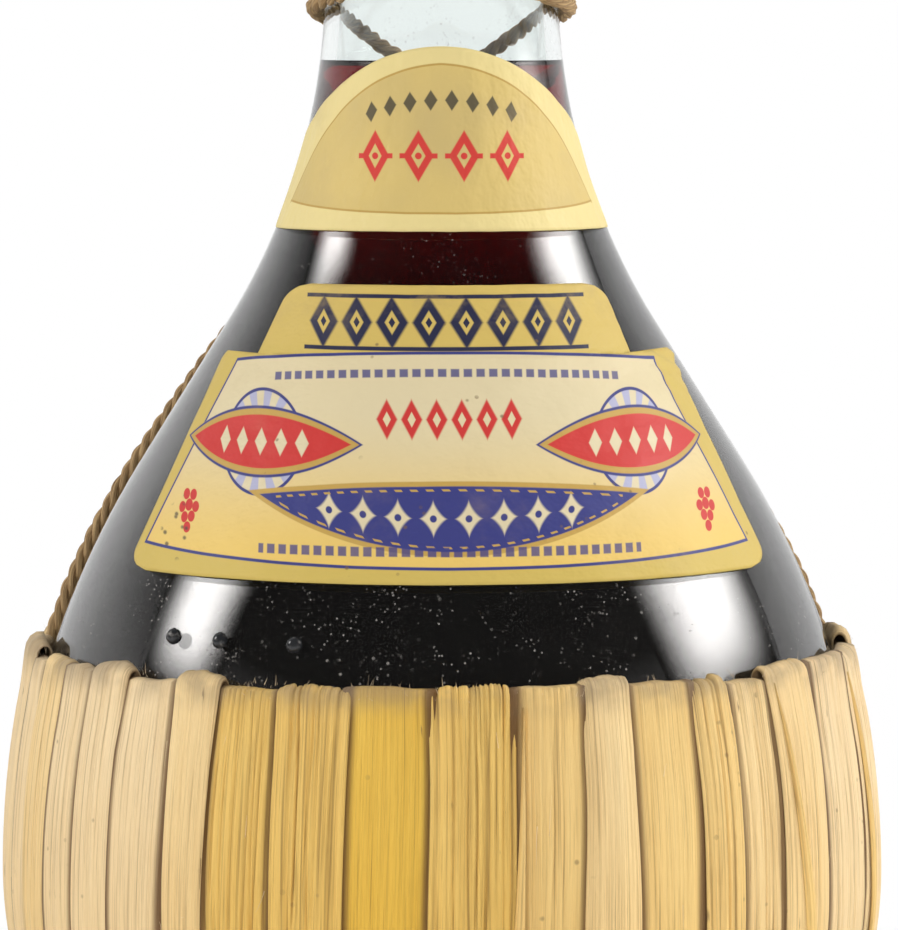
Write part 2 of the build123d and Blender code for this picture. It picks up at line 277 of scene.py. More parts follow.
@dataclass
class Shape:
    """Points and quads that grow into one mesh, with a UV pair and a shade value for each point."""

    points: list[Array] = field(default_factory=list)
    faces: list[Array] = field(default_factory=list)
    uvs: list[Array] = field(default_factory=list)
    shades: list[Array] = field(default_factory=list)
    caps: list[list[int]] = field(default_factory=list)
    count: int = 0

    def grid(self, points: Array, uv: Array | None = None, shade: Array | None = None,
             wrap_rows: bool = False, wrap_columns: bool = False, cap_ends: bool = False) -> None:
        """Adds a grid of points.

        Args:
            points: an array of rows, columns and 3 coordinates.
            uv: two texture coordinates for each point.
            shade: one value for each point, kept as the attribute shade.
            wrap_rows: whether the last row joins the first.
            wrap_columns: whether the last column joins the first.
            cap_ends: whether the first and last rows are closed by a face.
        """
        rows, columns = points.shape[:2]
        total = rows * columns
        self.points.append(points.reshape(-1, 3))
        self.faces.append(grid_faces(rows, columns, wrap_rows, wrap_columns) + self.count)
        self.uvs.append(np.zeros((total, 2)) if uv is None else uv.reshape(-1, 2))
        self.shades.append(np.zeros(total) if shade is None else shade.reshape(-1))
        if cap_ends:
            first = list(range(self.count, self.count + columns))
            last = [index + total - columns for index in first]
            self.caps += [first[::-1], last]
        self.count += total

    def build(self, name: str, material: bpy.types.Material, flip: bool = False) -> bpy.types.Object:
        """Makes the mesh object.

        Args:
            name: the piece's name.
            material: its finish.
            flip: whether the faces are turned round.

        Returns:
            The object, at the origin.
        """
        points = np.concatenate(self.points)
        quads = np.concatenate(self.faces)
        if flip:
            quads = quads[:, ::-1]
        polygons = quads.tolist() + [cap[::-1] if flip else cap for cap in self.caps]
        mesh = bpy.data.meshes.new(name)
        mesh.from_pydata(points.tolist(), [], polygons)
        corner_points = np.empty(len(mesh.loops), dtype=np.int64)
        mesh.loops.foreach_get("vertex_index", corner_points)
        layer = mesh.uv_layers.new(name="UVMap")
        layer.data.foreach_set("uv", np.concatenate(self.uvs)[corner_points].ravel())
        shade = mesh.attributes.new("shade", "FLOAT", "POINT")
        shade.data.foreach_set("value", np.concatenate(self.shades))
        mesh.polygons.foreach_set("use_smooth", np.ones(len(mesh.polygons), dtype=bool))
        mesh.materials.append(material)
        mesh.update()
        piece = bpy.data.objects.new(name, mesh)
        bpy.context.scene.collection.objects.link(piece)
        return piece


def single(name: str, material: bpy.types.Material, points: Array, uv: Array | None = None,
           shade: Array | None = None, flip: bool = False, **joins: bool) -> bpy.types.Object:
    """A piece of one grid; joins says which of its borders are wrapped or capped."""
    shape = Shape()
    shape.grid(points, uv, shade, **joins)
    return shape.build(name, material, flip)


def place(piece: bpy.types.Object, body: Body, slot: str, *nodes: str) -> None:
    """Lets a piece ride on a body and hides the nodes that it stands for."""
    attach(piece, body.value)
    if nodes:
        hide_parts(*nodes)
    log.info("%s: %d faces", piece.name, len(piece.data.polygons))


def smooth_noise(rng: np.random.Generator, count: int, knots: int, size: float) -> Array:
    """A smooth random curve: random values at even knots, joined by a cosine blend."""
    values = rng.uniform(-size, size, knots + 1)
    at = np.linspace(0, knots, count)
    low = np.minimum(at.astype(int), knots - 1)
    share = (1 - np.cos((at - low) * math.pi)) / 2
    return values[low] * (1 - share) + values[low + 1] * share


def doubled(front: Array, back: Array) -> Array:
    """A grid and the one behind it, read the other way, side by side."""
    return np.concatenate([front, back[:, ::-1]], axis=1)


def circle(count: int) -> Array:
    """Even angles once round, without the last that would repeat the first."""
    return np.linspace(0, 2 * math.pi, count, endpoint=False)


def toward(turn: float, length: float) -> Array:
    """A step of radius and height, at an angle up from the radius."""
    return np.array([length * math.cos(turn), length * math.sin(turn)])


def arc(centre: Array, radius: float, start: float, end: float, steps: int) -> Array:
    """Points (radius, height) along an arc."""
    turn = np.linspace(start, end, steps)
    return centre + radius * np.stack([np.cos(turn), np.sin(turn)], 1)


def around(azimuth: Array, radius: Array, height: Array) -> Array:
    """Places at an azimuth in radians from the front, a radius and a height, in metres."""
    azimuth, radius, height = np.broadcast_arrays(azimuth, radius, height)
    return np.stack([radius * np.sin(azimuth), -radius * np.cos(azimuth), height], -1) * MM


# The flask's outline


@dataclass
class Outline:
    """The flask's outer outline in millimetres, as tangent arcs and straight runs."""

    height: float = 330.0
    lift: float = 7.0
    belly_r: float = 70.0
    bottom_arc: float = 66.0
    belly_arc: float = 103.2
    shoulder_arc: float = 150.0
    throat_arc: float = 107.0
    belly_turn: float = math.radians(22.2)
    cone_turn: float = math.radians(32.2)
    neck_turn: float = math.radians(3.0)
    cone_length: float = 27.1

    def __post_init__(self) -> None:
        """Works out the arcs' centres and the joints between them."""
        self.belly_z = self.lift + self.bottom_arc
        self.belly_centre = np.array([self.belly_r - self.belly_arc, self.belly_z])
        self.shoulder_centre = self.belly_centre + toward(self.belly_turn, self.belly_arc - self.shoulder_arc)
        self.cone_low = self.shoulder_centre + toward(self.cone_turn, self.shoulder_arc)
        self.cone_high = self.cone_low + toward(self.cone_turn + math.pi / 2, self.cone_length)
        self.throat_centre = self.cone_high + toward(self.cone_turn, self.throat_arc)
        self.neck_low = self.throat_centre - toward(self.neck_turn, self.throat_arc)
        self.shoulder_z = (self.belly_centre + toward(self.belly_turn, self.belly_arc))[1]

    def bands(self, z: Array) -> list[Array]:
        """Which heights lie under the top of each part but the neck, from the bottom up."""
        tops = (self.belly_z, self.shoulder_z, self.cone_low[1], self.cone_high[1], self.neck_low[1])
        return [z < top for top in tops]

    def slope(self, height: Array) -> Array:
        """Angle between the glass and the upright, positive where it narrows upwards."""
        z = np.asarray(height, dtype=float)

        def angle(rise: Array, radius: float) -> Array:
            """Angle at which an arc of a radius has risen so far."""
            return np.arcsin(np.clip(rise / radius, -1, 1))

        parts = [angle(z - self.belly_z, self.bottom_arc), angle(z - self.belly_z, self.belly_arc),
                 angle(z - self.shoulder_centre[1], self.shoulder_arc), self.cone_turn,
                 angle(self.throat_centre[1] - z, self.throat_arc)]
        return np.select(self.bands(z), parts, self.neck_turn)

    def radius(self, height: Array) -> Array:
        """Outer radius at a height: each arc's centre plus or minus its radius times the slope's cosine."""
        z = np.asarray(height, dtype=float)
        turn = self.slope(z)
        parts = [self.belly_r - self.bottom_arc + self.bottom_arc * np.cos(turn),
                 self.belly_centre[0] + self.belly_arc * np.cos(turn),
                 self.shoulder_centre[0] + self.shoulder_arc * np.cos(turn),
                 self.cone_low[0] - (z - self.cone_low[1]) * math.tan(self.cone_turn),
                 self.throat_centre[0] - self.throat_arc * np.cos(turn)]
        neck = self.neck_low[0] - (z - self.neck_low[1]) * math.tan(self.neck_turn)
        return np.select(self.bands(z), parts, neck)

    def beside(self, azimuth: Array, height: Array, standoff: Array) -> Array:
        """Places at a distance outside the glass, square to its slope, in metres."""
        turn = self.slope(height)
        out, up = standoff * np.cos(turn), standoff * np.sin(turn)
        return around(azimuth, self.radius(height) + out, height + up)

    def profile(self, inset: float, top: float, steps: int) -> Array:
        """Points (radius, height) up the outline moved inwards by an inset, from the axis to a height."""
        turn = np.linspace(-math.pi / 2, 0, steps // 3, endpoint=False)
        centre = self.belly_r - self.bottom_arc
        reach = self.bottom_arc - inset
        bottom = np.stack([centre + reach * np.cos(turn), self.belly_z + reach * np.sin(turn)], 1)
        z = np.linspace(self.belly_z, top, steps)
        slope = self.slope(z)
        side = np.stack([self.radius(z) - inset * np.cos(slope), z - inset * np.sin(slope)], 1)
        side = side[side[:, 1] <= top]
        last = np.array([[np.interp(top, side[:, 1], side[:, 0]), top]])
        return np.concatenate([bottom, side, last])


OUTLINE = Outline()


def turned(profile: Array, segments: int) -> Array:
    """A profile of (radius, height) points carried round the axis, as a grid of places."""
    turn = circle(segments)
    return around(turn[None, :], profile[:, 0][:, None], profile[:, 1][:, None])


# Finishes


@dataclass(frozen=True)
class GlassFinish:
    """Clear old bottle glass with a film of dust that is thicker near the basket."""

    tint: Triple = (0.93, 0.965, 0.955)
    dust: Triple = (0.55, 0.52, 0.48)
    dusty_z: tuple[float, float] = (0.098, 0.150)
    roughness: float = 0.012
    ior: float = 1.5
    most_dust: float = 0.75

    def build(self) -> bpy.types.Material:
        """The glass material."""
        s = Shader("bottle_glass")
        at = s.position()
        _, _, z = s.split(at)
        low = 1 - z.ramp(*self.dusty_z)
        film = s.noise(at, 26, 4, 0.6).ramp(0.40, 0.85) * 0.010 + 0.0015
        fine = s.patchy(at, 1100, 0.17, 160, 0.50, 0.66)
        coarse = s.patchy(at, 420, 0.10, 60, 0.50, 0.62)
        mask = film + fine * (low * 0.34 + 0.20) + coarse * (low * 0.30 + 0.07) + low * 0.010
        bump = s.bump(s.noise(at, 38, 2), 0.05, 0.002)
        glass = s.principled(Base_Color=self.tint, Roughness=self.roughness, IOR=self.ior,
                             Transmission_Weight=1.0, Normal=bump)
        dust = s.principled(Base_Color=self.dust, Roughness=0.9)
        return s.surface(s.blend(mask.both(self.most_dust), glass, dust))


@dataclass(frozen=True)
class BeadFinish:
    """Moulded bumps, as dark as the wine behind them, with dust round their feet."""

    dark: Triple = (0.020, 0.021, 0.023)
    dust: Triple = (0.22, 0.20, 0.18)

    def build(self) -> bpy.types.Material:
        """The bump material."""
        s = Shader("glass_bump")
        at = s.position()
        dust = s.noise(at, 900, 3, 0.6).ramp(0.50, 0.75) * 0.5
        return s.coat(Base_Color=s.mix(dust, self.dark, self.dust), Roughness=dust * 0.5 + 0.16)


@dataclass(frozen=True)
class WineFinish:
    """Deep red wine that lets light through only where it is thin."""

    tint: Triple = (0.74, 0.030, 0.060)
    density: float = 235.0
    ior: float = 1.345

    def build(self) -> bpy.types.Material:
        """The wine material."""
        s = Shader("red_wine")
        at = s.position()
        bump = s.bump(s.noise(at, 60, 2), 0.02, 0.001)
        body = s.principled(Base_Color=(1.0, 1.0, 1.0), Roughness=0.0, IOR=self.ior, Transmission_Weight=1.0,
                            Normal=bump)
        absorb = s.named("ShaderNodeVolumeAbsorption", Color=self.tint, Density=self.density)
        s.feed(s.output.inputs["Volume"], absorb)
        return s.surface(body)


@dataclass(frozen=True)
class StrawFinish:
    """Dried sedge: fibres along the strip, a colour of its own for each strip, dust, and painted shade in the
    grooves and wherever else the mesh's shade values mark.
    """

    name: str
    pale: Triple
    deep: Triple
    low: Triple
    dark: Triple = (0.13, 0.060, 0.020)
    spot: Triple = (0.19, 0.11, 0.05)
    dust: Triple = (0.27, 0.20, 0.13)
    low_z: tuple[float, float] = (0.045, 0.100)
    rim_z: tuple[float, float] = (0.0985, 0.1045)
    relief: float = 0.75

    def build(self) -> bpy.types.Material:
        """The straw material; UV runs across the strip in u and along it in v, in centimetres."""
        s = Shader(self.name)
        uv = s.uv()
        at = s.position()
        _, _, z = s.split(at)
        fibres = s.noise(s.stretch(uv, (19.0, 0.16, 1.0)), 1.0, 5, 0.62)
        fine = s.noise(s.stretch(uv, (64.0, 0.5, 1.0)), 1.0, 3, 0.6)
        blotch = s.noise(s.stretch(uv, (1.5, 0.30, 1.0)), 1.0, 3, 0.5)
        wrinkle = s.noise(s.stretch(uv, (7.0, 1.1, 1.0)), 1.0, 4, 0.6)
        painted_shade = s.attribute("shade")
        tone = (blotch * 0.9 + fibres * 0.9 - 0.40).math("MINIMUM", 1.0, clamp=True)
        pale = s.mix(z.ramp(*self.low_z), self.low, self.pale)
        base = s.mix(tone, self.deep, pale)
        streak = fibres.below(0.39, 0.09) * 0.42 + fine.below(0.40, 0.07) * 0.26
        base = s.mix(streak.math("MINIMUM", 0.5), base, self.dark)
        # Painted shade: the colour goes dark where the mesh's shade values mark grooves, splits, edges,
        # shadowed borders, turned-in ends and backs.
        base = s.mix(painted_shade.ramp(0.10, 1.0) * 0.94, base, self.dark)
        spots = s.patchy(at, 260, 0.10, 45, 0.55, 0.64) * 0.5
        nick = s.specks(s.stretch(uv, (3.0, 0.8, 1.0)), 1.0, 0.09).both(wrinkle.ramp(0.50, 0.56)) * 0.7
        base = s.mix(spots.either(nick), base, self.spot)
        grey = z.ramp(*self.rim_z) * s.noise(at, 120, 3, 0.6).ramp(0.30, 0.66) * 0.62
        base = s.mix(grey, base, self.dust)
        relief = fibres * 0.6 + fine * 0.22 + wrinkle * 0.35
        return s.coat(
            Base_Color=base, Roughness=fine * 0.2 + 0.50, Specular_IOR_Level=0.28,
            Normal=s.bump(relief, self.relief, 0.0011),
        )


@dataclass(frozen=True)
class CordFinish:
    """Twisted straw cord, with painted shade in the lay between its strands."""

    pale: Triple = (0.52, 0.35, 0.16)
    dark: Triple = (0.17, 0.09, 0.035)

    def build(self) -> bpy.types.Material:
        """The cord material."""
        s = Shader("straw_cord")
        uv = s.uv()
        fibres = s.noise(s.stretch(uv, (9.0, 1.2, 1.0)), 1.0, 4, 0.6)
        base = s.mix(fibres.ramp(0.3, 0.68), self.dark, self.pale)
        # Painted shade in the lay between the strands, from the mesh's shade values.
        base = s.mix(s.attribute("shade") * 0.85, base, self.dark)
        return s.coat(Base_Color=base, Roughness=0.72, Normal=s.bump(fibres, 0.6, 0.0004))


@dataclass(frozen=True)
class CapsuleFinish:
    """Dull dark red foil with fine pressed creases and rubbed edges."""

    red: Triple = (0.235, 0.012, 0.018)
    rubbed: Triple = (0.42, 0.16, 0.13)

    def build(self) -> bpy.types.Material:
        """The foil material."""
        s = Shader("capsule_foil")
        at = s.position()
        creases = s.noise(s.stretch(at, (1.0, 1.0, 0.25)), 420, 3, 0.6)
        wear = s.noise(at, 210, 5, 0.7).ramp(0.62, 0.75) * 0.4
        return s.coat(
            Base_Color=s.mix(wear, self.red, self.rubbed), Metallic=0.25, Roughness=creases * 0.2 + 0.30,
            Normal=s.bump(creases, 0.35, 0.0005),
        )


@dataclass(frozen=True)
class CorkFinish:
    """Natural cork with pores, dark lines and a wine-stained foot."""

    pale: Triple = (0.62, 0.43, 0.25)
    grain: Triple = (0.46, 0.29, 0.15)
    dark: Triple = (0.20, 0.11, 0.05)
    stain: Triple = (0.16, 0.02, 0.03)
    stain_z: float = 0.2935

    def build(self) -> bpy.types.Material:
        """The cork material."""
        s = Shader("cork")
        at = s.position()
        _, _, z = s.split(at)
        grain = s.noise(s.stretch(at, (1.0, 1.0, 2.2)), 340, 5, 0.65)
        pores = s.patchy(s.stretch(at, (1.0, 1.0, 0.5)), 520, 0.2, 240, 0.48, 0.56)
        base = s.mix(grain.ramp(0.35, 0.65), self.grain, self.pale)
        base = s.mix(pores * 0.85, base, self.dark)
        base = s.mix(z.below(self.stain_z, 0.0012), base, self.stain)
        return s.coat(
            Base_Color=base, Roughness=0.82, Normal=s.bump(grain - pores * 0.5, 0.5, 0.0006)
        )


class Print:
    """Masks for a printed label, in millimetres across and up its own UV map."""

    def __init__(self, shader: Shader) -> None:
        """Reads the label's coordinates, a millimetre to a hundredth of the UV map."""
        self.shader = shader
        across, up, _ = shader.split(shader.uv())
        self.x = across * 100.0
        self.y = up * 100.0

    def row(self, y: float, half_w: float, pitch: float, size: float, tall: float) -> Sock:
        """A row of lozenges at an even pitch.

        Args:
            y: height of the row's middle.
            half_w: half the row's length.
            pitch: distance from one mark to the next.
            size: half a mark's width.
            tall: half a mark's height.

        Returns:
            The row's mask.
        """
        across = ((self.x / pitch).math("FRACT") - 0.5).abs() * (pitch / size)
        return (across + (self.y - y).abs() / tall).below(1.0, 0.12).both(self.x.abs().below(half_w, 0.05))

    def disc(self, x: float, y: float, radius: float) -> Sock:
        """A round spot, mirrored to the other side of the label."""
        dx = self.x.abs() - x
        dy = self.y - y
        return (dx * dx + dy * dy).math("SQRT").below(radius, 0.09)

    def lens(self, x: float, y: float, half_w: float, half_h: float) -> Sock:
        """A pointed oval on each side of the label: its half height falls with the square of the distance."""
        along = (self.x.abs() - x) / half_w
        room = (1 - along * along) * half_h
        return ((self.y - y).abs() - room).below(0, 0.11)

    def paper(self, colour: Sock, crease: Sock, strength: float, depth: float) -> bpy.types.Material:
        """Ends the label's material as creased paper with a slight gloss."""
        fine = self.shader.noise(self.shader.position(), 210, 3, 0.6) * 0.25
        return self.shader.coat(Base_Color=colour, Roughness=crease * 0.25 + 0.42, Specular_IOR_Level=0.3,
                                Normal=self.shader.bump(crease + fine, strength, depth))


@dataclass(frozen=True)
class BodyLabelFinish:
    """Gold-bordered paper with star bands, leaf plaques and berry sprays in navy and red."""

    border: Triple = (0.57, 0.42, 0.10)
    header: Triple = (0.59, 0.43, 0.11)
    cream: Triple = (0.66, 0.57, 0.365)
    yellow: Triple = (0.74, 0.50, 0.11)
    navy: Triple = (0.040, 0.045, 0.20)
    ink: Triple = (0.022, 0.024, 0.060)
    lilac: Triple = (0.40, 0.40, 0.55)
    red: Triple = (0.56, 0.035, 0.030)
    gold: Triple = (0.50, 0.32, 0.075)
    grime: Triple = (0.42, 0.30, 0.14)
    speck: Triple = (0.16, 0.10, 0.05)
    worn: Triple = (0.45, 0.32, 0.12)
    stamp: Triple = (0.05, 0.045, 0.04)
    rosette: tuple[float, float] = (32.5, 21.0)
    sash_y: float = 9.9
    sash_half: float = 34.5
    star_pitch: float = 5.6
    header_y: float = 40.0
    middle_y: float = 25.0
    berries: tuple[tuple[float, float], ...] = (
        (45.9, 10.4), (49.3, 10.2), (46.7, 8.9), (48.4, 8.7), (47.5, 7.2), (46.8, 12.2), (48.6, 12.2),
    )

    def build(self) -> bpy.types.Material:
        """The printed paper; y is 0 at the lower edge and x is 0 at the middle."""
        s = Shader("body_label_paper")
        p = Print(s)
        at = s.position()
        fade = s.noise(at, 30, 3, 0.5)
        panel = s.mix(p.y.ramp(2, 27) * 0.85 + fade * 0.15, self.yellow, self.cream)
        side = p.x.abs() + p.y * 0.61 - 61.0
        roof = p.y + (p.x * p.x) * 0.0012 - 35.3
        floor = 2.4 - p.y + (p.x * p.x) * 0.00055
        outside = side.either(roof).either(floor)
        base = s.mix(outside.below(0, 0.1), s.mix(p.y.ramp(33, 38), self.border, self.header), panel)
        rosette_x, rosette_y = self.rosette
        rosette = p.disc(*self.rosette, 8.3)
        spokes_x, spokes_y = p.x.abs() - rosette_x, p.y - rosette_y
        rays = (spokes_y.math("ARCTAN2", spokes_x) * 14.0).math("SINE").ramp(-0.25, 0.25)
        base = s.mix(rosette, base, self.navy)
        base = s.mix(p.disc(*self.rosette, 7.8), base, s.mix(rays, self.lilac, self.cream))
        plaque = p.lens(*self.rosette, 18.6, 5.5)
        base = s.mix(plaque, base, self.navy)
        base = s.mix(p.lens(*self.rosette, 18.0, 5.05), base, self.gold)
        base = s.mix(p.lens(*self.rosette, 16.6, 4.1), base, self.red)
        dots = ((spokes_x / 4.0 + 0.5).math("FRACT") - 0.5).abs() * 4.0
        leaf = (dots / 1.25 + spokes_y.abs() / 2.1).below(1.0, 0.12).both(spokes_x.abs().below(10.0, 0.05))
        base = s.mix(leaf, base, self.cream)
        lens = p.y - self.sash_y - (p.x * p.x) * 0.0030
        round_ = 1 - (p.x * p.x) * (1 / self.sash_half**2)
        base = s.mix((lens.abs() - round_ * 5.7).below(0, 0.12), base, self.gold)
        sea = (lens.abs() - round_ * 5.7 + 0.75).below(0, 0.12)
        base = s.mix(sea, base, self.navy)
        phase = ((p.x / self.star_pitch).math("FRACT") - 0.5).abs() * self.star_pitch
        star = ((phase / 2.1).math("POWER", 0.75) + (lens.abs() / 2.7).math("POWER", 0.75)).below(1.0, 0.14)
        heart = (phase * phase + lens * lens).math("SQRT").below(0.55, 0.1)
        star = (star - heart).either(0.0).both(p.x.abs().below(22.4, 0.1))
        base = s.mix(star, base, self.cream)
        rope = ((p.x * 2.4 + lens * 2.2).math("SINE")).ramp(-0.1, 0.3)
        edge = (lens.abs() - round_ * 5.7 + 1.35).abs().below(0.16, 0.08).both(p.x.abs().below(29.0, 0.1))
        base = s.mix(edge * rope, base, self.gold)
        sizes = ((2.7, 4.2), (1.2, 1.9), (0.55, 0.85))
        outer, gap, core = (p.row(self.header_y, 24.0, 6.0, *size) for size in sizes)
        high = outer.math("SUBTRACT", gap, clamp=True).either(core)
        for y in (self.header_y - 4.1, self.header_y + 4.1):
            high = high.either((p.y - y).abs().below(0.32, 0.08).both(p.x.abs().below(24.6, 0.1)))
        base = s.mix(high, base, self.ink)
        bow = p.y + (p.x * p.x) * 0.0011
        dash = ((p.x / 2.05).math("FRACT") - 0.5).abs().below(0.33, 0.06)
        small = (bow - 32.2).abs().below(0.62, 0.1).both(p.x.abs().below(30.5, 0.05))
        small = small.either((p.y - 4.9).abs().below(0.72, 0.1).both(p.x.abs().below(32.0, 0.05)))
        base = s.mix(small.both(dash) * 0.85, base, self.navy)
        outer, core = (p.row(self.middle_y, 12.0, 4.0, *size) for size in ((1.7, 3.1), (0.65, 1.2)))
        base = s.mix(outer.math("SUBTRACT", core, clamp=True), base, self.red)
        berries = p.disc(47.6, 10.6, 0.95)
        for x, y in self.berries:
            berries = berries.either(p.disc(x, y, 0.86))
        base = s.mix(berries, base, self.red)
        print_over = plaque.either(sea)
        line = outside.abs().below(0.24, 0.08)
        base = s.mix((line - print_over).either(0.0), base, self.navy)
        stamp = s.specks(s.stretch(at, (1.0, 0.2, 1.0)), 700, 0.22).both(
            ((p.x + 50.0) * (p.x + 50.0) + (p.y - 6.5) * (p.y - 6.5)).math("SQRT").below(4.2, 0.6)
        )
        base = s.mix(stamp * 0.8, base, self.stamp)
        grime = s.noise(at, 55, 5, 0.65).ramp(0.52, 0.80) * 0.22
        base = s.mix(grime, base, self.grime)
        specks = s.patchy(at, 330, 0.10, 70, 0.56, 0.64) * 0.7
        base = s.mix(specks, base, self.speck)
        worn = outside.ramp(2.0, 9.0) * s.noise(at, 130, 4, 0.7).ramp(0.45, 0.7) * 0.35
        base = s.mix(worn, base, self.worn)
        return p.paper(base, s.noise(s.stretch(at, (1.0, 1.0, 1.7)), 75, 4, 0.55), 0.55, 0.0016)


@dataclass(frozen=True)
class NeckLabelFinish:
    """Pale gold collar with a thin gold keyline, a band of small marks and four red ornaments."""

    border: Triple = (0.73, 0.60, 0.26)
    panel: Triple = (0.63, 0.47, 0.16)
    worn: Triple = (0.48, 0.37, 0.165)
    line: Triple = (0.47, 0.30, 0.07)
    dark: Triple = (0.07, 0.06, 0.04)
    red: Triple = (0.60, 0.045, 0.035)
    grime: Triple = (0.40, 0.29, 0.15)
    key_low: float = 2.9
    key_high: float = 27.2
    marks_y: float = 21.3
    ornament_y: float = 12.2
    ornament_pitch: float = 7.4

    def build(self) -> bpy.types.Material:
        """The printed paper; y is 0 at the lower edge and x is 0 at the middle."""
        s = Shader("neck_label_paper")
        p = Print(s)
        at = s.position()
        arch = p.x * p.x * -0.0205 + p.x.abs() * -0.045
        top = p.y - arch
        dip = p.y - p.x * p.x * 0.0016
        inside = top.below(self.key_high, 0.1).both(1 - dip.below(self.key_low, 0.1))
        key = (top - self.key_high).abs().below(0.17, 0.07)
        key = key.either((dip - self.key_low).abs().below(0.17, 0.07))
        key = key.both(top.below(self.key_high + 0.4, 0.1)).both(1 - dip.below(self.key_low - 0.4, 0.1))
        panel = s.mix(s.noise(at, 34, 3).ramp(0.45, 0.75) * 0.55, self.panel, self.worn)
        base = s.mix(inside, self.border, panel)
        base = s.mix(key, base, self.line)
        bow = p.y - p.x * p.x * -0.0135
        phase = ((p.x / 3.4).math("FRACT") - 0.5).abs() * (3.4 / 1.1)
        marks = (phase + (bow - self.marks_y).abs() / 1.7).below(1.0, 0.12).both(p.x.abs().below(13.6, 0.05))
        base = s.mix(marks * 0.92, base, self.dark)
        local = ((p.x / self.ornament_pitch).math("FRACT") - 0.5) * self.ornament_pitch
        up = p.y - self.ornament_y
        leaf = (local.abs() / 2.5 + up.abs() / 4.2).below(1.0, 0.07)
        core = (local.abs() / 1.15 + up.abs() / 2.0).below(1.0, 0.10)
        pip = (local * local + up * up).math("SQRT").below(0.55, 0.08)
        bar = up.abs().below(0.42, 0.08).both(local.abs().below(3.1, 0.1))
        ornament = (leaf - core).either(0.0).either(pip).either(bar - core)
        base = s.mix(ornament.both(p.x.abs().below(14.7, 0.05)), base, self.red)
        grime = s.noise(at, 60, 5, 0.65).ramp(0.50, 0.80) * 0.25
        base = s.mix(grime, base, self.grime)
        return p.paper(base, s.noise(s.stretch(at, (1.0, 1.0, 0.6)), 90, 4, 0.6), 0.65, 0.0018)


# Sub-assemblies


@dataclass
class Glassware:
    """The flask, its moulded beads and the wine."""

    wall: float = 2.6
    bore_r: float = 9.4
    bore_length: float = 48.0
    bore_flare: float = 20.0
    lip_height: float = 14.0
    lip_round: float = 1.8
    wine_z: float = 200.5
    wine_overlap: float = 0.25
    meniscus: float = 1.1
    bead_r: float = 1.35
    bead_z: float = 110.0
    bead_azimuths: tuple[float, ...] = (-42.5, -33.7, -21.4)
    segments: int = 200
    wine_segments: int = 180

    def flask(self) -> bpy.types.Object:
        """The wall of revolution: outer outline up, over the rounded lip, down the bore and the inside."""
        lip_z = OUTLINE.height - self.lip_height
        outer = OUTLINE.profile(0, lip_z, 120)
        turn = np.linspace(0, math.pi / 2, 7)
        rounded = np.stack([LIP_R - self.lip_round + self.lip_round * np.cos(turn),
                            OUTLINE.height - self.lip_round + self.lip_round * np.sin(turn)], 1)
        ring = np.array([[LIP_R - 0.35, lip_z + 0.1], [LIP_R, lip_z + 0.6]])
        flare_z = OUTLINE.height - self.bore_length - self.bore_flare
        inner = OUTLINE.profile(self.wall, flare_z, 120)[::-1]
        bore = np.array([[self.bore_r + 0.6, OUTLINE.height], [self.bore_r, OUTLINE.height - 0.6],
                         [self.bore_r, OUTLINE.height - self.bore_length]])
        profile = np.concatenate([outer, ring, rounded, bore, inner])
        profile[0, 0] = profile[-1, 0] = AXIS_R
        return single("flask_glass", GlassFinish().build(), turned(profile, self.segments), wrap_columns=True,
                      cap_ends=True)

    def beads(self) -> bpy.types.Object:
        """Three small domes: half ellipsoids square to the glass, sunk a little into it."""
        shape = Shape()
        polar = np.linspace(0.06, 1.0, 12)[:, None] * math.pi * 0.62
        spin = circle(24)[None, :]
        slope = float(OUTLINE.slope(self.bead_z))
        for azimuth in np.radians(self.bead_azimuths):
            side = self.bead_r * np.sin(polar) * np.cos(spin)
            up = self.bead_r * np.sin(polar) * np.sin(spin)
            out = self.bead_r * 0.85 * np.cos(polar) + 0 * spin
            middle = OUTLINE.beside(azimuth, self.bead_z, 0.0)
            normal = np.array([math.sin(azimuth) * math.cos(slope), -math.cos(azimuth) * math.cos(slope),
                               math.sin(slope)])
            right = np.array([math.cos(azimuth), math.sin(azimuth), 0.0])
            raise_way = np.cross(normal, right) * -1
            rise = side[..., None] * right + up[..., None] * raise_way + out[..., None] * normal
            shape.grid(middle + MM * rise, wrap_columns=True, cap_ends=True)
        return shape.build("flask_beads", BeadFinish().build(), flip=True)

    def wine(self) -> bpy.types.Object:
        """The wine: the inner outline moved out by a small overlap, with a raised rim at its surface."""
        profile = OUTLINE.profile(self.wall - self.wine_overlap, self.wine_z + self.meniscus, 170)
        edge = profile[-1, 0]
        share = np.linspace(0.0, 1.0, 10)[1:]
        fall = np.stack([edge - 3.2 * share, self.wine_z + self.meniscus * (1 - share) ** 2], 1)
        profile = np.concatenate([profile, fall, [[AXIS_R, self.wine_z]]])
        profile[0, 0] = AXIS_R
        grid = turned(profile, self.wine_segments)
        return single("wine_fill", WineFinish().build(), grid, wrap_columns=True, cap_ends=True)

    def build(self) -> None:
        """Makes and places the three pieces."""
        place(self.flask(), Body.BOTTLE, "glass", "flask")
        place(self.beads(), Body.BOTTLE, "glass")
        place(self.wine(), Body.BOTTLE, "wine", "wine")


